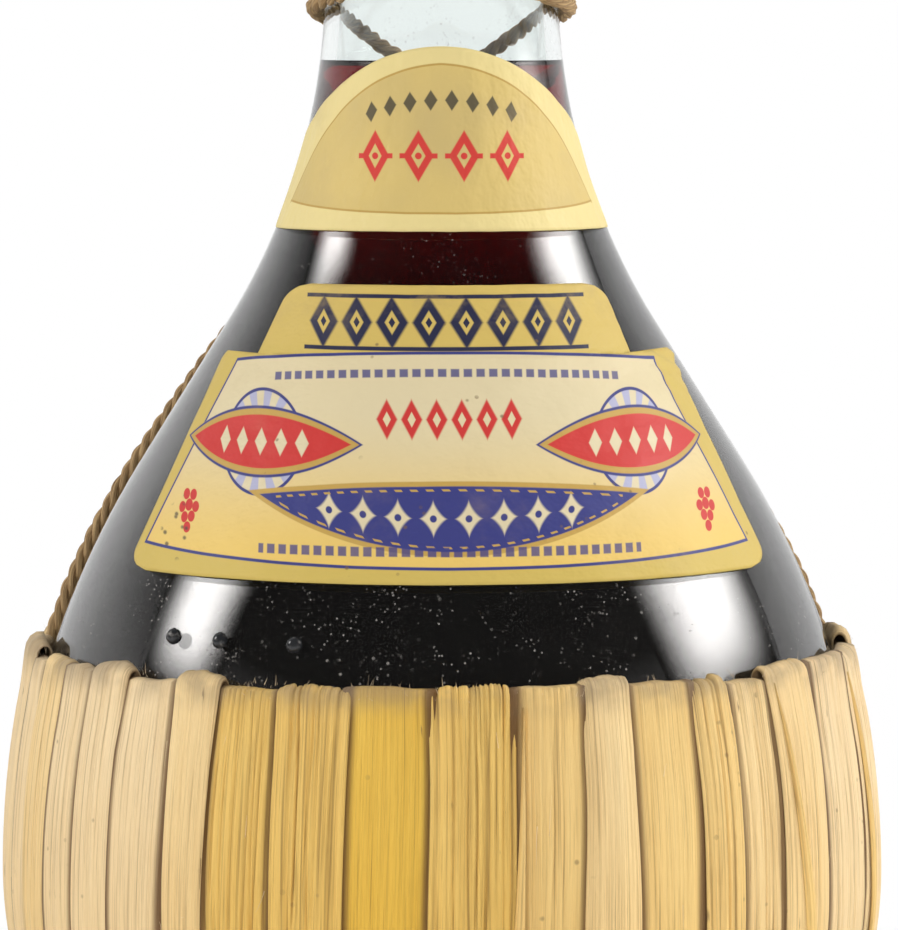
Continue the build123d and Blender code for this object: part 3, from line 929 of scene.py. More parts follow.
@dataclass
class Papers:
    """The two labels, sheets on a grid that follow the glass at a small standoff."""

    gap: float = 0.12
    thick: float = 0.16
    low: float = 119.4
    high: float = 153.9
    top: float = 165.3
    low_x: tuple[float, float] = (-51.0, 53.5)
    high_x: tuple[float, float] = (-35.5, 37.5)
    header_low_x: tuple[float, float] = (-29.8, 30.8)
    header_high_x: tuple[float, float] = (-24.3, 26.2)
    corner: float = 3.2
    neck_low: float = 173.9
    neck_side: float = 187.5
    neck_top: float = 204.0
    neck_turn: float = 84.0
    print_turn: float = 1.7
    wave_count: int = 14
    wave_depth: float = 0.026
    torn_turn: float = math.radians(52)
    torn_z: float = 145.0
    columns: int = 150
    seed: int = 11

    def sheet(self, name: str, azimuth: Array, height: Array, middle: float, base: float,
              material: bpy.types.Material, torn: float = 0.0) -> bpy.types.Object:
        """A closed thin sheet from a grid of azimuths and heights.

        Args:
            name: the piece's name.
            azimuth: rows of azimuths in radians.
            height: rows of heights in millimetres.
            middle: azimuth of the print's middle line.
            base: height of the print's zero.
            material: the paper.
            torn: how much the corner at the right shoulder is crumpled.

        Returns:
            The sheet: front and back grids joined round their borders.
        """
        rng = np.random.default_rng(self.seed)
        rows, columns = azimuth.shape
        waves = np.zeros_like(azimuth)
        for _ in range(self.wave_count):
            k1, k2, phase = rng.uniform(3, 16), rng.uniform(-0.35, 0.35), rng.uniform(0, 6.28)
            waves += np.sin(azimuth * k1 + height * k2 + phase) * self.wave_depth
        crumple = torn * np.clip((azimuth - self.torn_turn) * 4, 0, 1)
        crumple *= np.clip((height - self.torn_z) / 8, 0, 1)
        waves = waves + crumple * np.sin(height * 2.1 + azimuth * 30) * 0.28 + crumple * 0.35
        across = (azimuth - middle) * OUTLINE.radius(height)
        uv = np.stack([across, height - base], -1) / 100.0
        front = OUTLINE.beside(azimuth, height, self.gap + self.thick + np.abs(waves))
        back = OUTLINE.beside(azimuth, height, self.gap + np.abs(waves))
        shape = Shape()
        shape.grid(doubled(front, back), doubled(uv, uv), wrap_columns=True)
        row = np.arange(columns - 1)
        twin = 2 * columns - 1 - row
        low_edge = np.stack([row, twin, twin - 1, row + 1], -1)
        high_edge = low_edge[:, ::-1] + (rows - 1) * 2 * columns
        shape.faces += [low_edge, high_edge]
        return shape.build(name, material)

    def body_label(self) -> bpy.types.Object:
        """The fan-shaped label: straight slanting sides, rounded corners, a narrower header on top."""
        z = np.concatenate([np.linspace(self.low, self.high, 60),
                            np.linspace(self.high + 0.02, self.top, 24)])
        header = z > self.high
        share = np.where(header, (z - self.high) / (self.top - self.high),
                         (z - self.low) / (self.high - self.low))
        sides = []
        for side in (0, 1):
            low = np.where(header, self.header_low_x[side], self.low_x[side])
            high = np.where(header, self.header_high_x[side], self.high_x[side])
            sides.append(low * (1 - share) + high * share)
        from_low = np.clip(self.corner - (z - self.low), 0, self.corner)
        from_high = np.where(header, np.clip(self.corner - (self.top - z), 0, self.corner),
                             np.clip(self.corner / 2 - (self.high - z), 0, self.corner / 2))
        bend = np.maximum(from_low, from_high)
        inset = self.corner - np.sqrt(np.maximum(self.corner**2 - bend**2, 0))
        left, right = sides[0] + inset, sides[1] - inset
        r = OUTLINE.radius(z) + self.gap
        start, end = np.arcsin(left / r), np.arcsin(right / r)
        u = np.linspace(0, 1, self.columns)[None, :]
        azimuth = start[:, None] * (1 - u) + end[:, None] * u
        height = z[:, None] + 0 * u
        middle = math.radians(self.print_turn)
        material = BodyLabelFinish().build()
        return self.sheet("body_label_sheet", azimuth, height, middle, self.low, material, torn=1.0)

    def neck_label(self) -> bpy.types.Object:
        """The collar: a level lower edge, and an upper edge that is an arc as seen from the front."""
        u = np.linspace(-1, 1, self.columns)
        azimuth = np.radians(self.neck_turn) * u
        rise = self.neck_top - self.neck_side
        side_r = float(OUTLINE.radius(self.neck_side))
        reach = (side_r**2 + rise**2) / (2 * rise)
        upper = np.full_like(azimuth, self.neck_top)
        for _ in range(12):
            x = np.clip(OUTLINE.radius(upper) * np.sin(azimuth), -side_r, side_r)
            upper = (upper + self.neck_top - reach + np.sqrt(reach**2 - x**2)) / 2
        bend = np.clip(np.abs(u) - 0.955, 0, 1) / 0.045
        trim = self.corner * (1 - np.sqrt(np.maximum(1 - bend**2, 0)))
        v = np.linspace(0, 1, 46)[:, None]
        height = (self.neck_low + trim)[None, :] * (1 - v) + (upper - trim)[None, :] * v
        grid = azimuth[None, :] + 0 * v
        material = NeckLabelFinish().build()
        return self.sheet("neck_label_sheet", grid, height, 0.0, self.neck_low, material)

    def build(self) -> None:
        """Makes and places both labels."""
        place(self.body_label(), Body.BOTTLE, "label_paper", "body_label")
        place(self.neck_label(), Body.BOTTLE, "label_paper", "neck_label")


@dataclass
class Basket:
    """The straw basket: strips, frays, lining, hoop, foot ring and foot band."""

    frame_hoop: bpy.types.Object
    widest_r: float = 73.6
    widest_z: float = 66.0
    upper_arc: float = 150.0
    lower_arc: float = 66.0
    hoop_z: float = 102.5
    hoop_thick: float = 1.0
    straw: float = 0.4
    straw_gap: float = 0.1
    fold_leg: float = 5.5
    seat_gap: float = 0.3
    foot_thick: float = 15.0
    foot_flat: float = 0.5
    foot_tuck: float = math.radians(48.0)
    lining: tuple[float, float] = (20.0, 95.5)
    first_azimuth: float = -1.9
    width_shares: tuple[float, ...] = (
        11.4, 7.9, 7.0, 8.2, 7.1, 6.9, 10.8, 12.9, 9.6, 8.4, 10.2, 9.0, 11.3, 8.1, 9.9, 10.6, 7.8, 9.3, 11.0,
        8.6, 10.1, 9.5, 7.7, 11.6, 9.2, 10.4, 8.3, 9.8, 11.1, 7.0, 7.2, 7.5, 7.6, 8.4, 7.2, 7.9, 9.9, 9.4,
    )
    gap_shares: tuple[float, ...] = (
        0.3, 0.1, 0.2, 0.95, 0.05, 0.5, 0.9, 0.4, 0.5, 0.3, 0.2, 0.6, 0.1, 0.4, 0.9, 0.2, 0.3, 0.1, 0.7,
        0.3, 0.15, 0.5, 0.2, 0.1, 0.6, 0.3, 0.2, 0.4, 0.5, 0.25, 0.2, 0.35, 0.3, 1.0, 0.6, 0.3, 0.25, 0.35,
    )
    rough_shares: tuple[float, ...] = (
        1.3, 0.8, 0.35, 0.25, 1.0, 1.0, 0.5, 0.8, 0.6, 0.7, 0.4, 0.9, 0.3, 0.6, 1.1, 0.5, 0.3, 0.9, 0.4,
        0.7, 1.2, 0.3, 0.5, 0.9, 0.4, 0.6, 0.3, 0.6, 0.4, 0.3, 0.3, 0.25, 0.3, 0.2, 0.3, 1.2, 1.2, 0.15,
    )
    gold_steps: tuple[int, ...] = (
        4, 3, 2, 3, 3, 2, 2, 1, 1, 1, 2, 0, 3, 1, 2, 4, 1, 2, 0, 3, 2, 1, 4, 2, 1, 3, 2, 1, 1, 1, 2, 1, 1,
        1, 2, 4, 4, 5,
    )
    # Pale, deep and low colours of the palest and of the most golden strip
    straw_colours: tuple[Triple, ...] = ((0.95, 0.79, 0.55), (0.82, 0.61, 0.35), (0.93, 0.73, 0.43))
    gold_colours: tuple[Triple, ...] = ((0.89, 0.59, 0.11), (0.73, 0.42, 0.05), (0.84, 0.51, 0.06))
    # Pale, deep, low and dark colours of the straw inside the basket, darkened as painted shade
    shaded_inner_colours: tuple[Triple, ...] = (
        (0.30, 0.18, 0.08), (0.20, 0.11, 0.045), (0.20, 0.11, 0.045), (0.06, 0.03, 0.012),
    )
    # Azimuth, lean, first and last share of the path, and half width of each sliver
    sliver_table: tuple[tuple[float, float, float, float, float], ...] = (
        (10.6, -3.6, 0.10, 1.0, 0.80), (50.0, 7.0, 0.09, 0.75, 1.0), (74.0, 3.0, 0.10, 0.9, 0.8),
        (118.0, -5.0, 0.15, 0.8, 0.8), (163.0, 3.5, 0.2, 0.9, 0.7), (-150.0, -4.0, 0.15, 0.85, 0.8),
        (-108.0, 3.0, 0.18, 0.9, 0.7),
    )
    lean: float = math.radians(0.7)
    waver: float = math.radians(0.32)
    widest_gap: float = math.radians(1.5)
    least_gap: float = math.radians(0.10)
    grooves_per_mm: float = 2.1
    groove_width: tuple[float, float] = (0.22, 0.5)
    groove_depth: tuple[float, float] = (0.06, 0.30)
    groove_shade: tuple[float, float] = (0.10, 0.55)
    crown: tuple[float, float] = (0.35, 0.95)
    puff: tuple[float, float] = (0.25, 0.95)
    tuck: float = math.radians(1.5)
    shadow: float = math.radians(2.1)
    rings: int = 170
    face_columns: int = 70
    back_columns: int = 7
    sliver_tone: int = 3
    fray_tone: int = 0
    foot_tone: int = 3
    band_tone: int = 2
    fray_count: int = 760
    ring_columns: int = 900
    ring_lays: int = 44
    band_width: float = 7.0
    band_thick: float = 1.0
    band_start: float = 2.5
    seed: int = 7

    def __post_init__(self) -> None:
        """Works out the arcs that the straw follows."""
        foot_r = self.foot_thick / 2
        foot_z = foot_r - self.foot_flat
        reach = OUTLINE.bottom_arc + foot_r + self.seat_gap
        drop = OUTLINE.belly_z - foot_z
        self.foot_r = foot_r
        self.foot = np.array([OUTLINE.belly_r - OUTLINE.bottom_arc + math.sqrt(reach**2 - drop**2), foot_z])
        self.layers = 2 * self.straw + self.straw_gap
        self.fold_r = self.hoop_thick / 2 + self.straw_gap + self.layers
        self.upper = np.array([self.widest_r - self.upper_arc, self.widest_z])
        self.lower = np.array([self.widest_r - self.lower_arc, self.widest_z])
        self.rim_turn = math.asin((self.hoop_z - self.widest_z) / (self.upper_arc - self.fold_r))
        self.hoop = self.upper + toward(self.rim_turn, self.upper_arc - self.fold_r)
        self.fold_at = self.fold_leg + self.fold_r * math.pi / 2
        self.wrap_r = foot_r + self.seat_gap + self.layers
        run = self.foot - self.lower
        self.straight = math.atan2(run[1], run[0]) + math.acos(
            (self.lower_arc - self.wrap_r) / math.hypot(run[0], run[1])
        )

    def path(self, depth: float, count: int) -> tuple[Array, Array, Array]:
        """Way of a strip's outer face from its turned-in end over the hoop down to the foot.

        Args:
            depth: how far the face lies under the basket's outer face.
            count: number of points.

        Returns:
            Points (radius, height), outward normals, and the length from the start, evenly spaced.
        """
        fold_r = self.fold_r - depth
        fold = arc(self.hoop, fold_r, self.rim_turn + math.pi, self.rim_turn, 40)
        down = np.array([math.sin(self.rim_turn), -math.cos(self.rim_turn)]) * self.fold_leg
        leg = fold[0] + down * np.linspace(1, 0, 12, endpoint=False)[:, None]
        side = arc(self.upper, self.upper_arc - depth, self.rim_turn, 0, 80)
        belly = arc(self.lower, self.lower_arc - depth, 0, self.straight, 60)
        under = arc(self.foot, self.wrap_r - depth, self.straight, -self.foot_tuck, 20)
        whole = np.concatenate([leg, fold, side[1:], belly[1:], under])
        length = np.concatenate([[0], np.cumsum(np.hypot(*np.diff(whole, axis=0).T))])
        keep = np.concatenate([[True], np.diff(length) > 1e-6])
        at = np.linspace(0, length[-1], count)
        points = np.stack([np.interp(at, length[keep], whole[keep, k]) for k in (0, 1)], 1)
        ahead = np.gradient(points, axis=0)
        ahead /= np.hypot(*ahead.T)[:, None]
        normal = np.stack([-ahead[:, 1], ahead[:, 0]], 1)
        return points, normal, at

    def borders(self, at: Array) -> tuple[Array, Array]:
        """Lines between neighbouring strips and the wedge-shaped gaps that open along them.

        Args:
            at: lengths along the strips' path.

        Returns:
            The azimuth of the line at the end of each strip, and half the gap's width there, both in
            radians with a row for each strip. A line wanders and leans, and a gap grows with the length.
        """
        rng = np.random.default_rng(self.seed + 5)
        turned_by = 2 * math.pi * np.cumsum(self.width_shares) / sum(self.width_shares)
        ends = math.radians(self.first_azimuth) + turned_by
        run = np.clip((at - 8) / 90, 0, 1)
        lines, gaps = [], []
        for end, share in zip(ends, self.gap_shares):
            lean = rng.uniform(-self.lean, self.lean)
            wander = smooth_noise(rng, len(at), 5, self.waver) * np.clip(at / 12, 0, 1)
            lines.append(end + lean * run + wander)
            gaps.append(share * self.widest_gap * run**0.7 + self.least_gap)
        return np.array(lines), np.array(gaps)

    def ribbon(self, shape: Shape, rng: np.random.Generator, path: tuple[Array, Array, Array], left: Array,
               right: Array, rough: float = 0.0, puff: float = 0.0, shadow_band: float = 0.0) -> Shape:
        """Adds one flat straw to a shape, as a closed grid of a fine face and a coarser back.

        Args:
            shape: what the straw is added to.
            rng: source of its unevenness.
            path: points, normals and lengths along its outer face.
            left: azimuth of its left edge along the path.
            right: azimuth of its right edge along the path.
            rough: how deep its grooves are.
            puff: how far it stands off at the rim, in millimetres.
            shadow_band: width in radians of the border that lies in a neighbour's shadow.

        Returns:
            The shape. The straw's face is a crown and a curl, less narrow grooves that wander along it.
        """
        points, normal, at = path
        rings, across, backs = len(at), self.face_columns, self.back_columns
        below = np.clip((at - self.fold_at) / 12.0, 0, 1)
        u = np.linspace(-1, 1, across)
        width = float(np.mean(right - left)) * self.widest_r
        height = np.zeros((rings, across))
        # dark collects painted shade for the attribute shade: grooves, splits, edges, shadowed borders, the
        # turned-in end and the back.
        dark = np.zeros((rings, across))
        for _ in range(int(width * self.grooves_per_mm * (0.5 + rough)) + 2):
            centre = rng.uniform(-0.97, 0.97) + smooth_noise(rng, rings, 4, 0.035 + 0.03 * rough)
            narrow = rng.uniform(*self.groove_width) / width
            fade = np.clip(smooth_noise(rng, rings, 4, 0.9) + 0.55, 0, 1)
            cut = np.exp(-(((u[None, :] - centre[:, None]) / narrow) ** 2)) * fade[:, None]
            height -= cut * rng.uniform(*self.groove_depth) * (0.35 + rough)
            # Painted shade in each groove.
            dark = np.maximum(dark, cut * rng.uniform(*self.groove_shade) * (0.5 + 0.6 * rough))
        if rng.uniform() < 0.45 * rough + 0.1:
            split_from, split_to = sorted(rng.uniform(0.12, 0.95, 2))
            share = at / at[-1]
            open_ = np.clip(np.minimum(share - split_from, split_to - share) * 14, 0, 1)
            centre = rng.uniform(-0.5, 0.5) + smooth_noise(rng, rings, 3, 0.08)
            cut = np.exp(-(((u[None, :] - centre[:, None]) * width / 0.5) ** 2)) * open_[:, None]
            height -= cut * 0.5
            # Painted shade in the split.
            dark = np.maximum(dark, cut)
        crown = rng.uniform(*self.crown) * (1 - np.abs(u) ** 2.6)
        curl = rng.uniform(-0.3, 0.3) * u + smooth_noise(rng, rings, 4, 0.25)[:, None] * u[None, :]
        height += crown[None, :] * (0.5 + 0.5 * below[:, None]) + np.maximum(curl, -0.12) * below[:, None]
        swell = np.exp(-(((at - self.fold_at - 1.5) / 5.5) ** 2))
        height += swell[:, None] * puff * (1 - 0.7 * np.abs(u[None, :]) ** 3)
        wander = smooth_noise(rng, rings, 7, 0.10)[:, None]
        height += wander + smooth_noise(rng, across, 5, 0.14 * (0.4 + rough))
        height[at < self.fold_at] *= 0.15
        edge = np.clip((np.abs(u) - 0.90) / 0.10, 0, 1)[None, :]
        height -= edge**2 * 0.25
        apart = (1 - np.abs(u))[None, :] * (right - left)[:, None] / 2
        # Painted shadow along the border that lies in a neighbour's shadow.
        if shadow_band:
            dark = np.maximum(dark, np.exp(-((apart / shadow_band) ** 4)))
        # Painted shade where the strip's edge rolls down.
        dark = np.maximum(dark, edge**3 * 0.45)
        # Painted shade on the turned-in end inside the basket.
        dark = np.maximum(dark, np.clip(1.15 - at / self.fold_at, 0, 1)[:, None])
        rise = rng.uniform(-0.5, 1.3) * np.exp(-(((at - self.fold_at) / 3.4) ** 2))
        near_rim = np.exp(-(((at - self.fold_at) / 5.0) ** 2))
        uneven = smooth_noise(rng, across, 4, 0.3)[None, :] * near_rim[:, None]

        def lay(lift: Array, side: Array, tilt: Array | float = 0.0) -> Array:
            """Places of a grid lifted off the path along its normals, at shares of the width."""
            r = points[:, 0][:, None] + normal[:, 0][:, None] * lift
            z = points[:, 1][:, None] + normal[:, 1][:, None] * lift + rise[:, None] + tilt
            azimuth = left[:, None] * (1 - side[None, :]) / 2 + right[:, None] * (1 + side[None, :]) / 2
            return around(azimuth, r, np.maximum(z, 0.0))

        back_u = np.linspace(1, -1, backs)
        face = lay(np.maximum(height, -self.straw * 0.7), u, uneven)
        back = lay(np.full((rings, backs), -self.straw), back_u)
        shift = rng.uniform(0, 60)
        across_all = np.concatenate([u, back_u])[None, :] * width / 20.0 + shift
        uv = np.stack(np.broadcast_arrays(across_all, at[:, None] / 10.0 + shift), -1)
        # The back, against the glass, gets a fixed painted shade.
        shade = np.concatenate([dark, np.full((rings, backs), 0.8)], 1)
        shape.grid(np.concatenate([face, back], 1), uv, shade, wrap_columns=True, cap_ends=True)
        return shape

    def slivers(self, material: bpy.types.Material) -> bpy.types.Object:
        """Narrow straws that slant over the others, each a row of sliver_table."""
        points, normal, at = self.path(0.0, 220)
        rng = np.random.default_rng(self.seed + 9)
        whole = Shape()
        for azimuth, lean, low, high, wide in self.sliver_table:
            part = (at >= low * at[-1]) & (at <= high * at[-1])
            share = np.linspace(0, 1, int(part.sum()))
            middle = np.radians(azimuth + lean * share)
            half = math.radians(wide) * np.clip(np.minimum(share * 2.2, (1 - share) * 5) + 0.05, 0, 1)
            lift = 0.30 + 0.45 * np.sin(share * math.pi)
            path = (points[part] + normal[part] * lift[:, None], normal[part], at[part])
            self.ribbon(whole, rng, path, middle - half, middle + half)
        return whole.build("straw_slivers", material, flip=True)

    def frays(self, material: bpy.types.Material) -> bpy.types.Object:
        """Loose fibres at the rim and along the strips: thin three-sided hairs that bend outwards."""
        rng = np.random.default_rng(self.seed + 1)
        points, normal, at = self.path(0.0, 400)
        shape = Shape()
        for _ in range(self.fray_count):
            high = rng.uniform() < 0.80
            below_rim = rng.uniform(-2.5, 3.5) if high else rng.uniform(3, at[-1] - self.fold_at - 12)
            index = int(np.searchsorted(at, self.fold_at + below_rim))
            base, out = points[index], normal[index]
            length = 0.5 + 2.4 * rng.uniform() ** 2 if high else rng.uniform(2.0, 8.0)
            azimuth = rng.uniform(0, 2 * math.pi)
            side, bend = rng.uniform(-0.9, 0.9), rng.uniform(-0.5, 0.5)
            t = np.linspace(0, 1, 6)
            along = (rng.uniform(0.1, 0.9) if high else rng.uniform(-1, 1)) * length
            lift = 0.25 + length * (0.32 if high else 0.10) * t**1.5
            r = base[0] + out[0] * lift
            z = base[1] + out[1] * lift + along * t * (0.6 if high else 0.95)
            turn = azimuth + (side * t + bend * t**2) * length * (0.35 if high else 0.12) / self.widest_r
            centre = around(turn, r, z)
            spin = circle(3)
            thick = rng.uniform(0.03, 0.08) * (1 - 0.75 * t)[:, None] * MM
            ring = np.stack([np.cos(spin)[None, :] * thick * math.cos(azimuth),
                             np.cos(spin)[None, :] * thick * math.sin(azimuth),
                             np.sin(spin)[None, :] * thick], -1)
            uv = np.full((6, 3, 2), rng.uniform(0, 50))
            shape.grid(centre[:, None, :] + ring, uv, wrap_columns=True, cap_ends=True)
        return shape.build("straw_frays", material)

    def lining_shell(self, material: bpy.types.Material) -> bpy.types.Object:
        """Turned-in straw against the glass: a thin shell with upright ridges, a sum of sines round it."""
        rng = np.random.default_rng(self.seed + 2)
        turn = circle(720)[None, :]
        z = np.linspace(self.lining[0], self.lining[1], 26)[:, None]
        ridge = sum(np.sin(turn * k + rng.uniform(0, 6)) for k in (76, 117, 163)) * 0.06 + 0.65
        outer = OUTLINE.beside(turn, z, self.seat_gap + ridge)
        inner = OUTLINE.beside(turn, z[::-1], np.full_like(ridge, self.seat_gap))
        grid = np.concatenate([outer, inner])
        uv = np.stack(np.broadcast_arrays(turn * 7.0, np.concatenate([z, z[::-1]]) / 10.0), -1)
        # The constant shade value adds painted shade to the whole lining.
        return single("straw_lining_shell", material, grid, uv, np.full(grid.shape[:2], 0.35), wrap_rows=True,
                      wrap_columns=True)

    def foot_ring(self, material: bpy.types.Material) -> bpy.types.Object:
        """Rolled straw ring: a torus wound round with flat straw, its radius a row of low scallops."""
        turn = circle(self.ring_columns)[:, None]
        spin = circle(48)[None, :]
        lay = turn * self.ring_lays + spin * 2
        scallop = np.abs(np.sin(lay / 2)) ** 0.6
        radius = self.foot_r - 0.75 + scallop * 0.7 + 0.05 * np.sin(lay * 7)
        z = np.maximum(self.foot[1] + radius * np.sin(spin), 0.0)
        grid = around(turn, self.foot[0] + radius * np.cos(spin), z)
        uv = np.stack(np.broadcast_arrays(lay / 2.6, spin * self.foot_r / 10.0), -1)
        # Painted shade in the hollows between the windings.
        return single("foot_ring_straw", material, grid, uv, (1 - scallop) ** 3 * 0.9, wrap_rows=True,
                      wrap_columns=True)

    def foot_band(self, material: bpy.types.Material) -> bpy.types.Object:
        """Band of three flat straws laid side by side round the strips' lower ends."""
        turn = circle(540)[:, None]
        u = np.linspace(0, 1, 30)[None, :]
        out = toward(self.straight, 1.0)
        along = np.array([-out[1], out[0]])
        base = self.foot + out * (self.wrap_r + self.seat_gap) + along * self.band_start
        crown = np.abs(np.sin(u * math.pi * 3)) ** 0.5
        waver = 0.3 * np.sin(turn * 5) + 0.2 * np.sin(turn * 11 + 1)
        lift = crown * self.band_thick * 0.8 + 0.25 + 0.05 * np.sin(turn * 60 + u * 9)
        at = u * self.band_width + waver * 0.5

        def lay(height: Array) -> Array:
            """Places at a distance along the strips and a height off them."""
            r, z = (base[k] + along[k] * at + out[k] * height for k in (0, 1))
            return around(turn, r, z)

        both = doubled(lay(lift), lay(np.zeros_like(lift)))
        uv = np.stack(np.broadcast_arrays(u * 0.9 + 3, turn * self.foot[0] / 10.0), -1)
        # Painted shade in the hollows between the three straws.
        shade = np.broadcast_to((1 - crown) ** 2 * 0.9, lift.shape)
        return single("foot_band_straw", material, both, doubled(uv, uv), doubled(shade, shade), flip=True,
                      wrap_rows=True, wrap_columns=True)

    def build(self) -> None:
        """Makes and places every piece of the basket."""
        tones = []
        for index, gold in enumerate(np.linspace(0, 1, max(self.gold_steps) + 1)):
            colours = np.array(self.straw_colours) * (1 - gold) + np.array(self.gold_colours) * gold
            tones.append(StrawFinish(f"straw_{index + 1}", *map(tuple, colours.tolist())).build())
        lines, gaps = self.borders(self.path(0.0, self.rings)[2])
        turn = np.zeros(len(lines))
        turn[0] = 2 * math.pi
        lefts = np.roll(lines, 1, axis=0) - turn[:, None]
        for index, rough in enumerate(self.rough_shares):
            over = index % 2 == 0
            path = self.path(0.0 if over else self.straw + self.straw_gap, self.rings)
            left = lefts[index] + (gaps[index - 1] if over else -self.tuck)
            right = lines[index] - (gaps[index] if over else -self.tuck)
            source = np.random.default_rng(self.seed * 100 + index)
            puff = source.uniform(*self.puff)
            # Under strips get a band of painted shadow beside the over strips.
            shadow_band = 0.0 if over else self.shadow
            shape = self.ribbon(Shape(), source, path, left, right, rough, puff, shadow_band)
            piece = shape.build(f"straw_leaf_{index + 1:02d}", tones[self.gold_steps[index]], flip=True)
            place(piece, Body.BOTTLE, "straw", f"straw_strip_{index + 1:02d}")
        place(self.slivers(tones[self.sliver_tone]), Body.BOTTLE, "straw")
        # The straw inside the basket is a darker copy of the straw: painted shade.
        dark = StrawFinish("straw_inner_painted_shade", *self.shaded_inner_colours).build()
        place(self.frays(tones[self.fray_tone]), Body.BOTTLE, "straw")
        place(self.lining_shell(dark), Body.BOTTLE, "straw_lining", "straw_lining")
        place(self.foot_ring(tones[self.foot_tone]), Body.BOTTLE, "foot_straw", "foot_ring")
        place(self.foot_band(tones[self.band_tone]), Body.BOTTLE, "foot_straw", "foot_band")
        # The hoop, hidden under the strips, gets the same painted-shade straw.
        for slot in self.frame_hoop.material_slots:
            slot.material = dark


@dataclass
class Cords:
    """The two cords and the winding round the neck, each of three twisted strands."""

    thick: float = 2.8
    gap: float = 0.3
    lay_length: float = 9.5
    wrap_turns: int = 5
    wrap_pitch: float = 3.4
    strand_count: int = 3
    strand_off: float = 0.235
    strand_r: float = 0.262
    heights: tuple[float, ...] = (
        104.8, 114.0, 124.0, 134.0, 144.0, 154.0, 164.0, 173.4, 181.8, 188.9, 194.6, 199.3, 203.3, 206.4,
        208.6, 209.8, 210.7, 211.5, 212.5, 213.8, 215.3,
    )
    left_turns: tuple[float, ...] = (
        -98.0, -98.6, -100.2, -102.9, -106.9, -112.4, -120.0, -130.0, -142.0, -156.0, -172.0, -189.0, -206.0,
        -223.0, -240.0, -257.0, -274.0, -291.0, -308.0, -325.0, -341.0,
    )
    right_turns: tuple[float, ...] = (
        103.6, 105.4, 108.8, 112.6, 116.8, 121.6, 127.6, 134.8, 143.6, 156.0, 172.0, 189.0, 206.0, 223.0,
        240.0, 257.0, 274.0, 291.0, 308.0, 325.0, 341.0,
    )
    right_lifts: tuple[float, ...] = (0.15, 0.75, 1.2, 1.2, 0.75, 0.15)
    lift_from: int = 8
    low_end: float = 101.0
    seed: int = 3

    def strands(self, name: str, centre: Array, material: bpy.types.Material, seed: int) -> bpy.types.Object:
        """Strands twisted round a centre line.

        Args:
            name: the piece's name.
            centre: the centre line's places in metres.
            material: the cord's finish.
            seed: seed of the strands' unevenness.

        Returns:
            The cord. Each strand's centre turns round the line once in a lay length, and its section is
            a circle with low ridges.
        """
        rng = np.random.default_rng(seed)
        ahead = np.gradient(centre, axis=0)
        ahead /= np.linalg.norm(ahead, axis=1)[:, None]
        up = np.array([0.0, 0.0, 1.0]) + 0.2 * ahead[:, [1, 2, 0]]
        side = np.cross(ahead, up)
        side /= np.linalg.norm(side, axis=1)[:, None]
        other = np.cross(side, ahead)
        length = np.concatenate([[0], np.cumsum(np.linalg.norm(np.diff(centre, axis=0), axis=1))]) / MM
        count = len(centre)
        shape = Shape()
        spin = circle(14)[None, :]
        for strand in range(self.strand_count):
            turn = 2 * math.pi * (length / self.lay_length + strand / self.strand_count)
            apart = self.thick * self.strand_off + smooth_noise(rng, count, count // 24 + 2, 0.05)
            radius = self.thick * self.strand_r * (1 + smooth_noise(rng, count, count // 18 + 2, 0.10))
            along = length[:, None]
            ridge = 1 + 0.07 * np.sin(spin * 5 + along * 0.9) + 0.04 * np.sin(spin * 9 - along)
            fine = radius[:, None] * ridge
            a = (apart * np.cos(turn))[:, None] + fine * np.cos(spin)
            b = (apart * np.sin(turn))[:, None] + fine * np.sin(spin)
            off = a[..., None] * side[:, None, :] + b[..., None] * other[:, None, :]
            grid = centre[:, None, :] + MM * off
            reach = np.hypot(a, b) / (self.thick / 2)
            # Painted shade on the strands' inner sides, in the lay between them.
            shade = np.clip((0.72 - reach) * 3.0, 0, 1)
            uv = np.stack(np.broadcast_arrays(spin / 3 + strand * 5, along / 10.0), -1)
            shape.grid(grid, uv, shade, wrap_columns=True, cap_ends=True)
        return shape.build(name, material)

    def route_line(self, turns: tuple[float, ...], lifts: tuple[float, ...] = ()) -> Array:
        """Smooth centre line through azimuths at the heights, carried down into the basket.

        Args:
            turns: azimuth in degrees at each of the heights.
            lifts: how far the cord is lifted over the other where they cross, in cord thicknesses.

        Returns:
            Places in metres. The line is the route's corners evened out by a Hann window.
        """
        lift = np.zeros(len(turns) + 1)
        lift[self.lift_from + 1:self.lift_from + 1 + len(lifts)] = lifts
        at = np.arange(len(lift))
        fine = np.linspace(0, len(lift) - 1, 460)
        window = np.hanning(37)
        window /= window.sum()
        smooth = []
        for column in ((turns[0], *turns), (self.low_end, *self.heights), lift):
            values = np.interp(fine, at, column)
            before, after = 2 * values[0] - values[18:0:-1], 2 * values[-1] - values[-2:-20:-1]
            smooth.append(np.convolve(np.concatenate([before, values, after]), window, mode="valid"))
        standoff = self.thick / 2 + self.gap + smooth[2] * self.thick
        return OUTLINE.beside(np.radians(smooth[0]), smooth[1], standoff)

    def build(self) -> None:
        """Makes and places the cords and the winding."""
        material = CordFinish().build()
        left = self.strands("cord_left_twist", self.route_line(self.left_turns), material, self.seed)
        place(left, Body.BOTTLE, "straw_cord", "cord_left")
        right_line = self.route_line(self.right_turns, self.right_lifts)
        right = self.strands("cord_right_twist", right_line, material, self.seed + 1)
        place(right, Body.BOTTLE, "straw_cord", "cord_right")
        turns = np.linspace(0, self.wrap_turns, 900)
        height = self.heights[-1] + self.thick + self.gap + self.wrap_pitch * turns
        line = OUTLINE.beside(2 * math.pi * turns, height, self.thick / 2 + self.gap)
        wrap = self.strands("neck_wrap_twist", line, material, self.seed + 2)
        place(wrap, Body.BOTTLE, "straw_cord", "neck_wrap")


